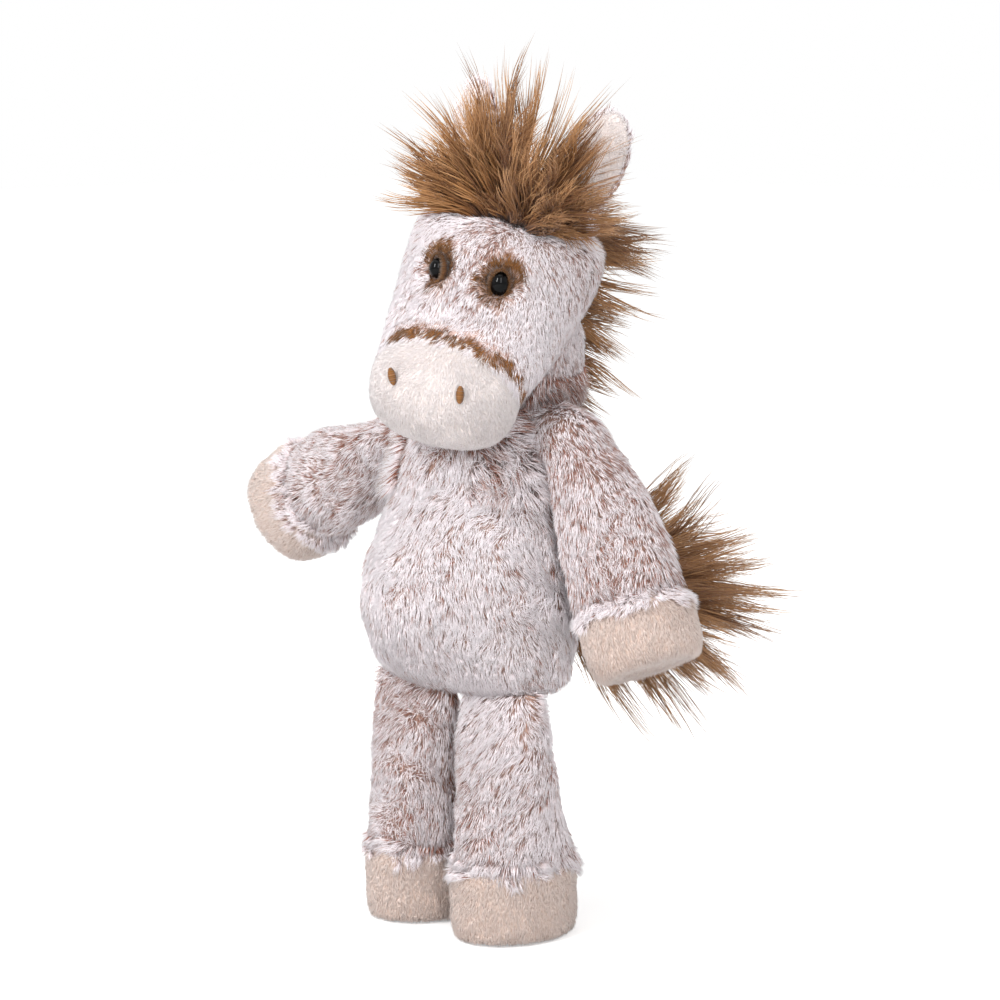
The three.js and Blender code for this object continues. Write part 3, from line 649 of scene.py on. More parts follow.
def lock_of_hair(root, heading, length, spread, strands, chance, sag, wave):
    """Strands that leave a root together, wave as one, and close to a point with a few strays."""
    heading = unit(np.array(heading, float))
    side = unit(np.cross(heading, [0.3, 0.2, 0.9]))
    across = np.cross(heading, side)
    place = np.linspace(0, 1, HAIR_RINGS + 2)
    profile = np.interp(place, *LOCK_PROFILE)
    angle, far = chance.uniform(0, 6.28, strands), chance.random(strands) ** 0.5
    stray = np.where(chance.random(strands) < 0.12, 2.6, 1.0)
    off = (side * np.cos(angle)[:, None] + across * np.sin(angle)[:, None]) * far[:, None] * spread * MM
    reach = length * MM * chance.uniform(0.6, 1.05, strands)
    phase, turns = chance.uniform(0, 6.28), chance.uniform(0.5, 1.1)
    swing = wave * MM * np.sin(place * turns * 6.28 + phase)[:, None] * place[:, None]
    swing2 = wave * MM * 0.6 * np.cos(place * turns * 5.1 + phase)[:, None] * place[:, None]
    bend = side * swing + across * swing2 + np.array(sag) * MM * (place**2)[:, None]
    paths = (np.array(root)[None, None] + heading * reach[:, None, None] * place[None, :, None]
             + off[:, None] * (profile[None, :, None]
                               + (stray[:, None, None] - 1) * place[None, :, None] ** 2)
             + bend[None] + chance.normal(size=(strands, 1, 3)) * 1.3 * MM * place[None, :, None] ** 2)
    radii = np.interp(place[1:-1], *HAIR_RADII)[None] * MM
    radii = radii * chance.uniform(0.7, 1.25, (strands, 1))
    tone = np.clip(chance.normal(chance.uniform(0.1, 0.85), 0.18, strands), 0.02, 0.98)
    return Strands(paths, radii, tone)


def hair_pieces(name, locks, matrix, materials, body, node):
    """Locks given in a frame of their own as pieces that stand for one CAD node."""
    hair = gathered(locks)
    hair.paths = moved_paths(matrix, hair.paths)
    made = pile_pieces(name, hair, materials, body, "brown_long_pile", HAIR_ALONG)
    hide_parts(node)


# Materials


def blanked(holder):
    """A material or a world with an empty node tree."""
    holder.use_nodes = True
    holder.node_tree.nodes.clear()
    return holder


def add_node(holder, kind, **settings):
    node = holder.node_tree.nodes.new(f"ShaderNode{kind}")
    for key, value in settings.items():
        setattr(node, key, value)
    return node


def set_inputs(node, values):
    for key, value in values.items():
        node.inputs[key].default_value = value


def join(holder, source, target):
    holder.node_tree.links.new(source, target)


def blank_material(name):
    material = blanked(bpy.data.materials.new(name))
    shader = add_node(material, "BsdfPrincipled")
    join(material, shader.outputs[0], add_node(material, "OutputMaterial").inputs[0])
    return material, shader


def linear(code):
    """A colour written as six hexadecimal digits, as the shader wants it."""
    values = [int(code[k:k + 2], 16) / 255 for k in (0, 2, 4)]
    return tuple(v / 12.92 if v <= 0.04045 else ((v + 0.055) / 1.055) ** 2.4 for v in values) + (1,)


def ramp(material, source, stops):
    node = add_node(material, "ValToRGB")
    while len(node.color_ramp.elements) < len(stops):
        node.color_ramp.elements.new(0.5)
    for element, (place, code) in zip(node.color_ramp.elements, stops):
        element.position, element.color = place, linear(code)
    join(material, source, node.inputs[0])
    return node.outputs[0]


def mixed(material, factor, first, second):
    node = add_node(material, "Mix", data_type="RGBA")
    for socket, value in ((node.inputs[0], factor), (node.inputs[6], first), (node.inputs[7], second)):
        join(material, value, socket)
    return node.outputs[2]


def span(material, source, low, high, to_low=0.0, to_high=1.0, kind="LINEAR"):
    node = add_node(material, "MapRange", interpolation_type=kind)
    join(material, source, node.inputs[0])
    set_inputs(node, {1: low, 2: high, 3: to_low, 4: to_high})
    return node.outputs[0]


def smooth_span(material, source, low, high, to_low=0.0, to_high=1.0):
    return span(material, source, low, high, to_low, to_high, "SMOOTHSTEP")


def noise_of(material, scale, detail=2.0):
    """Noise through the object's own space."""
    where = add_node(material, "TexCoord")
    noise = add_node(material, "TexNoise")
    set_inputs(noise, {"Scale": scale, "Detail": detail})
    join(material, where.outputs["Object"], noise.inputs["Vector"])
    return noise.outputs[0]


def strand_values(material):
    """The tone of a strand and the place along it, from its map."""
    source = add_node(material, "UVMap", uv_map="Strand")
    split = add_node(material, "SeparateXYZ")
    join(material, source.outputs[0], split.inputs[0])
    return split.outputs[0], split.outputs[1]


def frosted_colour(material, tone, along, stops, patch_stops):
    """Pile whose pale tips start lower on paler strands, and the colour of the brown patches."""
    shift = span(material, tone, 0.0, 0.44, -0.14, 0.14)
    paler = add_node(material, "Math", operation="ADD")
    join(material, along, paler.inputs[0])
    join(material, shift, paler.inputs[1])
    light = ramp(material, paler.outputs[0], stops)
    bright = add_node(material, "VectorMath", operation="SCALE")
    join(material, ramp(material, along, patch_stops), bright.inputs[0])
    join(material, span(material, tone, *BROWN_TONES, 0.32, 1.3), bright.inputs[3])
    return light, bright.outputs[0]


def strand_material(name, along_stops, dark_stops, patch_stops=None, sheen=0.25, dull=0.85):
    """Hair coloured from root to tip, with a paler and a darker kind mixed by the strand's tone."""
    material, shader = blank_material(name)
    tone, along = strand_values(material)
    dark = ramp(material, along, dark_stops)
    if patch_stops:
        light, brown = frosted_colour(material, tone, along, along_stops, patch_stops)
        frosted = mixed(material, smooth_span(material, tone, 0.03, 0.05), dark, light)
        colour = mixed(material, smooth_span(material, tone, 0.49, 0.51), frosted, brown)
    else:
        light = ramp(material, along, along_stops)
        colour = mixed(material, span(material, tone, 0.03, 1.0), dark, light)
    join(material, colour, shader.inputs["Base Color"])
    rough = smooth_span(material, along, 0.0, 1.0, dull + 0.1, dull - 0.1)
    join(material, rough, shader.inputs["Roughness"])
    set_inputs(shader, {"Sheen Weight": sheen, "Sheen Roughness": 0.5, "Specular IOR Level": 0.3})
    return material


def matted_material(name, dark, light, scale=900.0, depth=0.6):
    """The backing between the strands: tangled short fibre."""
    material, shader = blank_material(name)
    noise = noise_of(material, scale, 6)
    join(material, ramp(material, noise, [(0.3, dark), (0.7, light)]), shader.inputs["Base Color"])
    bump = add_node(material, "Bump")
    set_inputs(bump, {"Strength": depth, "Distance": 0.0006})
    join(material, noise, bump.inputs["Height"])
    join(material, bump.outputs[0], shader.inputs["Normal"])
    join(material, smooth_span(material, noise, 0.3, 0.7, 0.98, 0.85), shader.inputs["Roughness"])
    set_inputs(shader, {"Sheen Weight": 0.2})
    return material


def gloss_material(name, code, other_code, rough=0.04):
    """Polished plastic with faint unevenness."""
    material, shader = blank_material(name)
    noise = noise_of(material, 260)
    join(material, ramp(material, noise, [(0.35, code), (0.75, other_code)]), shader.inputs["Base Color"])
    join(material, smooth_span(material, noise, 0.3, 0.8, rough, rough * 2), shader.inputs["Roughness"])
    set_inputs(shader, {"Specular IOR Level": 0.15})
    return material


def make_materials():
    """The finish of each slot of the record, and of the backings under the pile."""
    frost_light = [(0.0, "8C6452"), (0.2, "B49389"), (0.34, "E5D6D7"), (0.5, "F6EDF0"), (1.0, "FEF9FC")]
    frost_fleck = [(0.0, "74432B"), (0.5, "955F4B"), (0.8, "BE968A"), (1.0, "E2D1CF")]
    brown = [(0.0, "6A3E1C"), (0.5, "935D28"), (1.0, "B27A40")]
    cream_light = [(0.0, "E6DBD8"), (0.5, "F1E9E8"), (1.0, "F8F2F2")]
    cream_dark = [(0.0, "DACDC9"), (0.5, "E9E0DE"), (1.0, "F1EAE9")]
    beige_light = [(0.0, "D4BDB0"), (0.5, "E9D7CE"), (1.0, "F0E3DD")]
    beige_dark = [(0.0, "C8AEA0"), (0.5, "DCC8BE"), (1.0, "E6D6CE")]
    hair_light = [(0.0, "6A4022"), (0.35, "9C6A3A"), (0.75, "BE8C5A"), (1.0, "CDA074")]
    hair_dark = [(0.0, "2F190B"), (0.4, "4F2E18"), (0.8, "754B2A"), (1.0, "90643E")]
    # Each stitch is darker at both ends, where it goes into the cloth, than over its top: painted shade.
    thread_light = [(0.0, "6A421C"), (0.5, "96652E"), (1.0, "6A421C")]
    thread_dark = [(0.0, "4C2E12"), (0.5, "7A4E24"), (1.0, "4C2E12")]
    return {
        "frosted_plush": strand_material("frosted_pile", frost_light, frost_fleck, brown),
        "cream_plush": strand_material("cream_pile", cream_light, cream_dark),
        "beige_plush": strand_material("beige_pile", beige_light, beige_dark),
        "brown_long_pile": strand_material("long_pile", hair_light, hair_dark, sheen=0.1, dull=0.55),
        "embroidery_thread": strand_material("embroidery_thread", thread_light, thread_dark, sheen=0.2,
                                             dull=0.6),
        "gloss_black_plastic": gloss_material("gloss_black", "020202", "080607"),
        "frosted_plush_base": matted_material("frosted_backing", "8E6858", "BA9A8C"),
        "face_base": matted_material("face_backing", "A4857A", "CBB2AA"),
        "cream_plush_base": matted_material("cream_backing", "E2D5CF", "F0E7E3"),
        "beige_plush_base": matted_material("beige_backing", "CDB3A4", "E0CDC2"),
        "washer": matted_material("washer_plastic", "D8D8D2", "E2E2DE", 400, 0.1),
    }


# Torso


def one_way(direction):
    """A flow that lies the same way everywhere."""
    return lambda points: np.tile(direction, (len(points), 1))


def down_and_out(share):
    """A flow down and a little away from the body's middle."""
    return lambda points: unit(from_middle(points) * [1, 1, 0]) * share + [0, 0, -1]


def body_painted_shade(points):
    """More brown flecks under the chin, and between arm and belly: painted shade."""
    local = from_middle(points)
    pits = band("pit_aside", np.abs(local[:, 0])) * band("pit_height", local[:, 2])
    return np.maximum(1.5 * band("chin", local[:, 2]), 1.2 * pits)


def shoulder_flow(points):
    """The long pile at the shoulders lies outwards and down over the tops of the arms."""
    return unit(from_middle(points) * [1, 0.4, 0]) + [0, 0, -0.7]


def at_shoulders(points, normals):
    off = np.abs(points[:, 0] - toy_matrix().translation.x)
    return (points[:, 2] > 0.168) & (off > 0.016)


def make_torso(materials, forms):
    form = forms["torso"]
    neighbours = [forms[name] for name in ("head", "left_arm", "right_arm", "left_leg", "right_leg")]
    fur = combed("torso_pile", "torso", form, down_and_out(0.25), moving=neighbours,
                 shade_and_brown=body_painted_shade)
    long = combed("shoulder_pile", "shoulder", form, shoulder_flow, where=at_shoulders,
                  moving=[forms["head"]])
    dressed("torso", form, [fur, long], materials, "torso_body", "frosted_plush",
            ["torso_skin", "torso_filling"])


# Arms and legs


def limb_brown_and_shade(points):
    """Brown flecks a little more often all over the arms and legs, as their own colour, and more at their
    tops where they meet the body, as painted shade.
    """
    hip = band("hip", points[:, 2]) * band("below_hip_top", points[:, 2])
    return 0.2 + 0.5 * np.maximum(band("shoulder", points[:, 2]), hip)


def make_limb(materials, forms, side, kind):
    label = f"{side}_{kind}"
    body = f"{label}_body"
    sleeve, hoof = forms[label], forms[f"{label}_hoof"]
    seam, outwards, downwards = sleeve_end(label), limb_outwards(label), one_way(limb_axis(label))

    def on_rim(points, normals):
        down = 0.0034 + 0.0013 * wander(points, 0.009, seed_of(label))[:, 0]
        return (seam(points) > -down) & ((normals * outwards(points)).sum(1) > -0.7)

    def off_rim(points, normals):
        return ~on_rim(points, normals)

    def at_end(points, normals):
        return (seam(points) < 0.004) & (seam(points) > -0.001)

    fur = combed(f"{label}_pile", "limb", sleeve, downwards, hidden=[hoof],
                 moving=[forms["torso"], forms["head"]], shade_and_brown=limb_brown_and_shade)
    hem = combed(f"{label}_hem", "hem", hoof, downwards, where=on_rim)
    edge = combed(f"{label}_edge", "edge", sleeve, downwards, where=at_end)
    dressed(label, sleeve, [fur, hem, edge], materials, body, "frosted_plush",
            [f"{label}_sleeve", f"{label}_filling"])
    short = combed(f"{label}_hoof_pile", "hoof", hoof, downwards, hidden=[sleeve], where=off_rim)
    dressed(f"{label}_hoof", hoof, [short], materials, body, "beige_plush",
            [f"{label}_hoof_wall", f"{label}_hoof_sole"])


# Head


def on_cheek(local):
    """How far places in the head's frame lie on its sides, behind the eyes."""
    return band("cheek_back", local[:, 1]) * band("cheek_aside", np.abs(local[:, 0]))


def head_brown_and_shade(points):
    """The cheeks and the neck show more brown, as painted shade that on the neck is partly its own brown, and
    the middle of the brow shows brown flecks of its own.
    """
    local = in_head(points)
    neck = band("nape", local[:, 2]) * band("nape_back", local[:, 1])
    brow = band("brow", np.abs(local[:, 0])) * band("brow_height", local[:, 2])
    return 0.9 * neck + 2.5 * brow + 1.2 * on_cheek(local)


def head_flow(points):
    """The head's pile lies away from the crown and down, and away from the eyes close to them."""
    crown = np.array([0, -0.012, 0.112])
    flow = turned(head_matrix(), unit(in_head(points) - crown) + [0, 0, -0.5])
    for side in SIDES:
        off = from_eye(side, points)
        near = band("eye_parting", np.linalg.norm(off, axis=1))[:, None]
        flow = flow * (1 - near) + 1.4 * unit(off) * near
    return flow


def muzzle_flow(points):
    middle = np.array([0, -0.055, 0.042])
    return turned(head_matrix(), 0.4 * unit(in_head(points) - middle) + [0, 0, -1])


def eye_patch(side, points, local, chance):
    """A ragged oval round an eye that leans outwards at its top."""
    at = moved(eye_place(side).inverted(), points) / MM
    wide, high = at[:, 0] * SIDES[side], at[:, 2] - PATCH_RISE
    breadth = PATCH_BREADTH[side] * (1 - 0.2 * np.clip(-high / 8, 0, 1))
    away = ((wide - 0.5 * high * 0.4) / breadth) ** 2 + (high / PATCH_HEIGHT) ** 2
    ragged = 0.6 * wander(local, 0.0035, 78)[:, 0] + 0.25 * chance.normal(size=len(points))
    return (away < 1 + 0.8 * ragged) & (np.abs(at[:, 1]) < 9)


def brown_places(points, chance):
    """Where the face's pile is brown: round the eyes, along the bridle seam, and faintly on the cheek's."""
    local = in_head(points)
    aside, forward, height = local.T
    brown = np.zeros(len(points), bool)
    for side in SIDES:
        brown |= eye_patch(side, points, local, chance)
    above = seam_height(local) / MM
    ragged = 1.2 * wander(local, 0.006, 77)[:, 0] + 0.6 * chance.normal(size=len(points))
    bridle = (np.abs(above - BRIDLE_MIDDLE) < BRIDLE_HALF_WIDTH + ragged) & (forward < -0.012)
    brown |= bridle & (aside > BRIDLE_ENDS[0]) & (aside < BRIDLE_ENDS[1])
    line = np.abs(forward / MM + CHEEK_SEAM_BACK - 0.6 * ragged) < 0.8
    beside = (np.abs(height / MM - CHEEK_SEAM_MIDDLE) < CHEEK_SEAM_HALF) & (np.abs(aside) > 0.02)
    return brown | (line & (chance.random(len(points)) < 0.45) & beside)


def on_neck(points, normals):
    """The neck below and behind the jaw."""
    local = in_head(points)
    return (local[:, 2] < 0.052) & (local[:, 1] > -0.012) & (points[:, 2] > 0.176)


def make_head(materials, forms):
    """The face and the muzzle overlap a little at the bridle seam, and below it the muzzle stands up."""
    whole = forms["head"]
    above = seam_height(in_head(whole.points))
    face = part_of(whole, above > -0.003)
    raised = 0.0012 * band("muzzle_raise", above)[:, None]
    muzzle = part_of(Form(whole.points + whole.normals * raised, whole.triangles), above < 0.002)
    fur = combed("head_pile", "face", face, head_flow, moving=[forms["torso"]], patch=brown_places,
                 shade_and_brown=head_brown_and_shade)
    local = in_head(fur.paths[:, 0])
    # The frosted pile on the cheeks is made darker: painted shade.
    frosted = (fur.tones > FLECK_TONE) & (fur.tones < BROWN_TONES[0])
    fur.tones = np.where(frosted, np.maximum(fur.tones - 0.28 * on_cheek(local), NECK_TONES[0]), fur.tones)
    fur = fur.only(seam_height(local) > -0.001)
    # The long pile of the neck below and behind the jaw is dark and brown: partly its own brown, partly
    # painted shade under the jaw.
    neck = combed("neck_pile", "neck", face, down_and_out(0.5), where=on_neck)
    dressed("head", face, [fur, neck], materials, "head_body", "frosted_plush",
            ["head_skin", "head_filling"], base="face_base")
    short = combed("muzzle_pile", "muzzle", muzzle, muzzle_flow)
    short = short.only(seam_height(in_head(short.paths[:, 0])) < -0.0005)
    dressed("muzzle", muzzle, [short], materials, "head_body", "cream_plush", ["muzzle_skin"])


def make_ear(materials, forms, side):
    label = f"{side}_ear"
    body = f"{label}_body"
    back, lining = forms[label], forms[f"{label}_lining"]
    upwards = one_way(turned(head_matrix(), np.array([0.0, 0.0, 1.0])))
    fur = combed(f"{label}_pile", "ear", back, upwards, hidden=[lining, forms["head"]])
    dressed(label, back, [fur], materials, body, "frosted_plush", [f"{label}_back"])
    short = combed(f"{label}_lining_pile", "lining", lining, upwards, hidden=[back])
    dressed(f"{label}_lining", lining, [short], materials, body, "cream_plush", [f"{label}_lining"])


def make_eye(materials, side):
    """An oval dome on a short skirt that reaches into the plush."""
    rings, sides = 14, 32
    broad, high = EYE_OVAL[side]
    profile = [(0.2, 3.0), (EYE_RADIUS, 0.6)]
    for k in range(rings + 1):
        angle = k / rings * pi / 2
        profile.append((EYE_RADIUS * cos(angle), -EYE_DOME * sin(angle)))
    points, triangles = [], []
    for radius, along in profile:
        reach = max(radius, 1e-3)
        for j in range(sides):
            turn = 2 * pi * j / sides
            points.append((reach * broad * cos(turn), along, reach * high * sin(turn)))
    for k in range(len(profile) - 1):
        for j in range(sides):
            a, b = k * sides + j, k * sides + (j + 1) % sides
            triangles += [(a, a + sides, b), (b, a + sides, b + sides)]
    points = moved(eye_place(side), np.array(points) * MM)
    slot = "gloss_black_plastic"
    piece = add_piece(f"{side}_eye_button", points, np.array(triangles), materials[slot], "head_body")
    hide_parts(f"{side}_eye")


def make_lashes(materials, side):
    """Short brown pile that stands round the eye and leans over its rim at the sides, in the darkest browns
    as painted shade round the eye.
    """
    chance = np.random.default_rng(seed_of(side + "lashes"))
    count = 420
    angle = chance.uniform(0, 2 * np.pi, count)
    aside, up = np.cos(angle), np.sin(angle)
    low = np.stack([aside * 0.85, np.zeros(count), up], axis=1) * chance.uniform(4.8, 6.4, (count, 1))
    low[:, 1] = 1.2
    inward = 1.0 - 0.24 * np.abs(aside) + 0.25 * (low[:, [0, 2]] ** 2).sum(1) ** 0.5 / 6 - 0.2
    reach = aside * EYE_OVAL[side][0] * EYE_RADIUS * (inward + 0.06)
    high = np.stack([reach, -1.2 - 0.9 * chance.random(count), up * EYE_RADIUS * (inward + 0.12)], axis=1)
    middle = (low + high) / 2 + np.stack([aside, -0.6 + 0 * angle, up], axis=1) * 0.5
    paths = moved_paths(eye_place(side), np.stack([low, middle, high], axis=1) * MM)
    radii = np.full((count, 1), 0.15 * MM) * chance.uniform(0.8, 1.2, (count, 1))
    strands = Strands(paths, radii, chance.uniform(*LASH_TONES, count))
    pile_pieces(f"{side}_eye_lashes", strands, materials, "head_body", "frosted_plush")


def make_nostril(materials, side):
    """Satin stitches side by side across a small upright lens."""
    node = f"{side}_nostril_stitching"
    leaning = head_matrix() @ Euler((0, SIDES[side] * NOSTRIL_LEAN, 0), "XYZ").to_matrix().to_4x4()
    local = moved(leaning.inverted(), node_points(node))
    middle, half = (local.min(0) + local.max(0)) / 2, np.ptp(local, axis=0) / 2 * [1.1, 1.3, 1.0]
    lean = np.array(Euler((0, NOSTRIL_TURN, 0), "XYZ").to_matrix())
    chance = np.random.default_rng(seed_of(node))
    rings = 5
    place = np.linspace(0, 1, rings + 2)
    high = np.linspace(-1, 1, NOSTRIL_STITCHES) * 0.94
    width = np.sqrt(1 - high**2)
    angle = np.pi * place
    paths = np.zeros((NOSTRIL_STITCHES, rings + 2, 3))
    paths[..., 0] = -np.cos(angle)[None] * width[:, None] * half[0] * 1.05
    paths[..., 1] = -np.sin(angle)[None] * (0.55 + 0.45 * width[:, None]) * half[1] * 1.1
    paths[..., 2] = (high * half[2])[:, None] + 0.06 * MM * chance.normal(size=(NOSTRIL_STITCHES, 1))
    radii = np.full((NOSTRIL_STITCHES, rings), 0.31 * MM) * chance.uniform(0.85, 1.15, (NOSTRIL_STITCHES, 1))
    leant = (paths.reshape(-1, 3) @ lean.T + middle).reshape(paths.shape)
    strands = Strands(moved_paths(leaning, leant), radii, chance.random(NOSTRIL_STITCHES))
    piece, = pile_pieces(f"{side}_nostril_stitches", strands, materials, "head_body", "embroidery_thread",
                         tuple(place))
    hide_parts(node)


# Forelock, mane and tail


def make_forelock(materials):
    """Rows of locks that fan out over the crown, with a short fringe before them."""
    chance = np.random.default_rng(seed_of("forelock"))
    locks = []
    last = FORELOCK_ROWS - 1
    for row in range(FORELOCK_ROWS):
        for i in range(FORELOCK_PER_ROW):
            across = (2 * i + (row % 2) + 0.5) / FORELOCK_PER_ROW - 1 + chance.normal() * 0.04
            fan = across * 0.95 - 0.1 + chance.normal() * 0.19
            lean = -0.2 + 0.75 * row / last + chance.normal() * 0.14
            heading = np.array([sin(fan), -lean, cos(fan)])
            length = (FORELOCK_LENGTH * (1 - 0.42 * abs(across)) * chance.uniform(0.62, 1.02)
                      * (1 - 0.15 * row / FORELOCK_ROWS))
            root = np.array([2.5 + across * (FORELOCK_HALF_WIDTH - 2.5), -FORELOCK_FORWARD + 3 - 1.6 * row,
                             FORELOCK_HEIGHT - 4 - abs(across) * 2.0])
            sag = (3 * chance.normal() + 4 * across, -1.5 * row + 2 * chance.normal(), -2 - 3 * abs(across))
            wave = chance.uniform(1.5, 7.5)
            locks.append(lock_of_hair(root * MM, heading, length, 2.0, 26, chance, sag, wave))
    for i in range(FRINGE_LOCKS):
        across = (2 * i + 1) / FRINGE_LOCKS - 1 + chance.normal() * 0.03
        root = np.array([2.5 + across * (FORELOCK_HALF_WIDTH - 1.5), -FORELOCK_FORWARD - 0.5,
                         FORELOCK_HEIGHT - 4.5 - abs(across) * 1.5])
        heading = np.array([across * 1.3 - 0.1, -0.5 - 0.2 * chance.random(), 0.35 + 0.3 * chance.random()])
        length = chance.uniform(16, 30)
        sag = (2 * across, 0, -4 * chance.random())
        wave = chance.uniform(0.5, 2.0)
        locks.append(lock_of_hair(root * MM, heading, length, 1.8, 24, chance, sag, wave))
    hair_pieces("forelock_hair", locks, head_matrix(), materials, "head_body", "forelock")


def make_mane(materials, forms):
    """Locks rooted in the back of the head and neck, close to the path of the solid mane."""
    chance = np.random.default_rng(seed_of("mane"))
    matrix, inverse = head_matrix(), head_matrix().inverted()
    stations = np.array(MANE_PATH, float)
    shares = np.linspace(0, 1, len(stations))
    tree = forms["head"].tree()
    locks = []
    for i in range(MANE_LOCKS):
        down = ((i + 0.5) / MANE_LOCKS) ** 1.15
        root = np.array([np.interp(down, shares, stations[:, k]) for k in range(3)])
        root += chance.normal(size=3) * [1.5, 3.0, 4.0]
        spot, normal, _, _ = tree.find_nearest(matrix @ Vector(root * MM))
        root = np.array(inverse @ (spot - normal * MANE_DEPTH * MM)) / MM
        fan = (0.35 + 0.95 * chance.random()) * (1 if i % 2 else -1)
        rise = 0.08 + 0.28 * (1 - 2 * down) + chance.normal() * 0.18
        heading = np.array([sin(fan), cos(fan), rise])
        length = MANE_LENGTH * chance.uniform(0.65, 1.03) * (1 - 0.25 * abs(2 * down - 0.8))
        sag = (0, 0, -3 - 6 * chance.random())
        wave = chance.uniform(1.5, 5.0)
        locks.append(lock_of_hair(root * MM, heading, length, 2.6, 32, chance, sag, wave))
    hair_pieces("mane_hair", locks, matrix, materials, "head_body", "neck_mane")


def make_tail(materials):
    """Locks that leave a core, which starts inside the torso, ever further aside."""
    chance = np.random.default_rng(seed_of("tail"))
    joint = next(j for j in frame["joints"] if j["child"] == "tail_body")
    matrix = Matrix.Translation(Vector(joint["pos_m"])) @ Matrix.Rotation(-TAIL_SWING, 4, "Z")
    core = np.array([0, 1, -tan(TAIL_DROP)])
    locks = []
    for i in range(TAIL_LOCKS):
        around = 2.4 * i + chance.normal() * 0.2
        spread = 0.1 + 0.9 * ((i + 0.5) / TAIL_LOCKS) ** 0.75 + chance.normal() * 0.05
        start = core * (TAIL_CORE * chance.random() - TAIL_DEPTH)
        aside = np.array([cos(around), 0, sin(around)])
        heading = core * cos(spread) + aside * sin(spread)
        length = (TAIL_LENGTH - start[1]) * chance.uniform(0.68, 1.04) * (1 - 0.2 * spread)
        sag = (0, 0, -1 - 8 * chance.random())
        wave = chance.uniform(2.0, 5.0)
        locks.append(lock_of_hair(start * MM, heading, length, 3.3, 38, chance, sag, wave))
    hair_pieces("tail_hair", locks, matrix, materials, "tail_body", "tail")


# Stage


def make_floor():
    """A white floor: it glows for the camera alone, and keeps the toy's shadow."""
    material = blanked(bpy.data.materials.new("floor"))
    seen, matt, glow = (add_node(material, kind) for kind in ("LightPath", "BsdfDiffuse", "Emission"))
    strength = add_node(material, "Math", operation="MULTIPLY")
    both, out = add_node(material, "AddShader"), add_node(material, "OutputMaterial")
    set_inputs(matt, {0: (FLOOR_SHADE, FLOOR_SHADE, FLOOR_SHADE, 1)})
    set_inputs(strength, {1: FLOOR_GLOW})
    join(material, seen.outputs["Is Camera Ray"], strength.inputs[0])
    join(material, strength.outputs[0], glow.inputs[1])
    join(material, matt.outputs[0], both.inputs[0])
    join(material, glow.outputs[0], both.inputs[1])
    join(material, both.outputs[0], out.inputs[0])
    mesh = bpy.data.meshes.new("floor")
    corners = [(x * FLOOR_REACH, y * FLOOR_REACH, 0) for x, y in ((-1, -1), (1, -1), (1, 1), (-1, 1))]
    mesh.from_pydata(corners, [], [(0, 1, 2, 3)])
    mesh.materials.append(material)
    placed("floor", mesh)


def make_world():
    """Even light, and plain white to the camera, to reflections and through anything clear."""
    world = blanked(bpy.data.worlds.new("studio"))
    bpy.context.scene.world = world
    path, back, out = (add_node(world, kind) for kind in ("LightPath", "Background", "OutputWorld"))
    first, second = (add_node(world, "Math", operation="MAXIMUM") for _ in range(2))
    level = add_node(world, "MapRange")
    set_inputs(level, {3: WORLD_STRENGTH, 4: 1.0})
    set_inputs(back, {0: (1, 1, 1, 1)})
    join(world, path.outputs["Is Camera Ray"], first.inputs[0])
    join(world, path.outputs["Is Glossy Ray"], first.inputs[1])
    join(world, first.outputs[0], second.inputs[0])
    join(world, path.outputs["Is Transmission Ray"], second.inputs[1])
    join(world, second.outputs[0], level.inputs[0])
    join(world, level.outputs[0], back.inputs[1])
    join(world, back.outputs[0], out.inputs[0])


def camera_axes():
    azimuth, elevation = radians(CAMERA_AZIMUTH), radians(CAMERA_ELEVATION)
    level = cos(elevation)
    back = Vector((sin(azimuth) * level, -cos(azimuth) * level, sin(elevation)))
    right = Vector((cos(azimuth), sin(azimuth), 0))
    return right, back.cross(right), back


def placed_facing(name, data, place, towards):
    """A camera or lamp that looks along a direction."""
    thing = placed(name, data)
    thing.location = place
    thing.rotation_mode = "QUATERNION"
    thing.rotation_quaternion = towards.to_track_quat("-Z", "Y")
    return thing


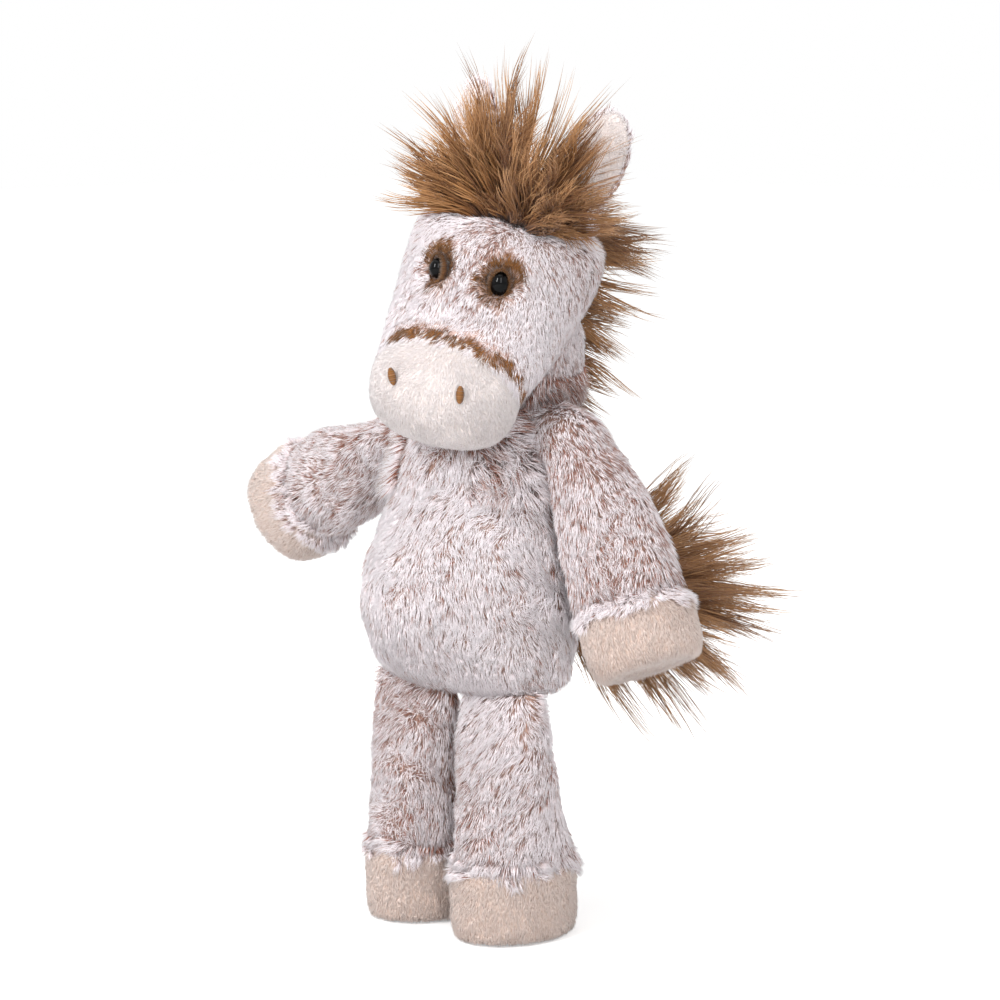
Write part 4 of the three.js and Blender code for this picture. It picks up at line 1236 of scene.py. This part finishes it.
def make_camera():
    right, _, back = camera_axes()
    target = toy_matrix() @ (Vector(CAMERA_TARGET) * MM) + right * CAMERA_ASIDE * MM
    data = bpy.data.cameras.new("camera")
    data.lens, data.sensor_width = CAMERA_LENS, CAMERA_SENSOR
    place = target + back * CAMERA_DISTANCE * MM
    bpy.context.scene.camera = placed_facing("camera", data, place, -back)


def add_lamp(name, place, target, size, power):
    data = bpy.data.lights.new(name, "AREA")
    data.shape, data.size, data.size_y, data.energy = "RECTANGLE", size[0], size[1], power
    placed_facing(name, data, place, target - place)


def make_light():
    right, up, back = camera_axes()
    middle = toy_matrix() @ Vector((0, 0, LIT_HEIGHT))
    for name, ((aside, above, before), size, power) in SOFTBOXES.items():
        add_lamp(name, middle + right * aside + up * above + back * before, middle, size, power)
    add_lamp("top_softbox", middle + Vector((0, 0, TOP_HEIGHT)), middle, TOP_SIZE, TOP_POWER)


def make_washer(materials, side):
    """The solid washer inside the head stays, with a finish of its own."""
    washer = frame["nodes"][f"{side}_eye_washer"]
    washer.data.materials.clear()
    washer.data.materials.append(materials["washer"])


def main():
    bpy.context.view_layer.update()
    bpy.context.scene.view_settings.view_transform = "Standard"
    make_camera()
    make_world()
    make_light()
    make_floor()
    materials = make_materials()
    forms = make_forms()
    make_torso(materials, forms)
    make_head(materials, forms)
    for side in SIDES:
        make_limb(materials, forms, side, "arm")
        make_limb(materials, forms, side, "leg")
        make_ear(materials, forms, side)
        make_eye(materials, side)
        make_lashes(materials, side)
        make_nostril(materials, side)
        make_washer(materials, side)
    make_forelock(materials)
    make_mane(materials, forms)
    make_tail(materials)


with open("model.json") as file:
    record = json.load(file)
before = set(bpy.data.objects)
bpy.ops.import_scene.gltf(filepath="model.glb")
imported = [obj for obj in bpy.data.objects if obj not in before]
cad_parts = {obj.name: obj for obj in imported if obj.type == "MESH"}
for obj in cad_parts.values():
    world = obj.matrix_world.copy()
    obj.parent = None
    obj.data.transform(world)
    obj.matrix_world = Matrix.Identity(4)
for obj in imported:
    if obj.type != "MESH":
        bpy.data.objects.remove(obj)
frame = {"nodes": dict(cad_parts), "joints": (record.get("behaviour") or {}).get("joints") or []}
main()
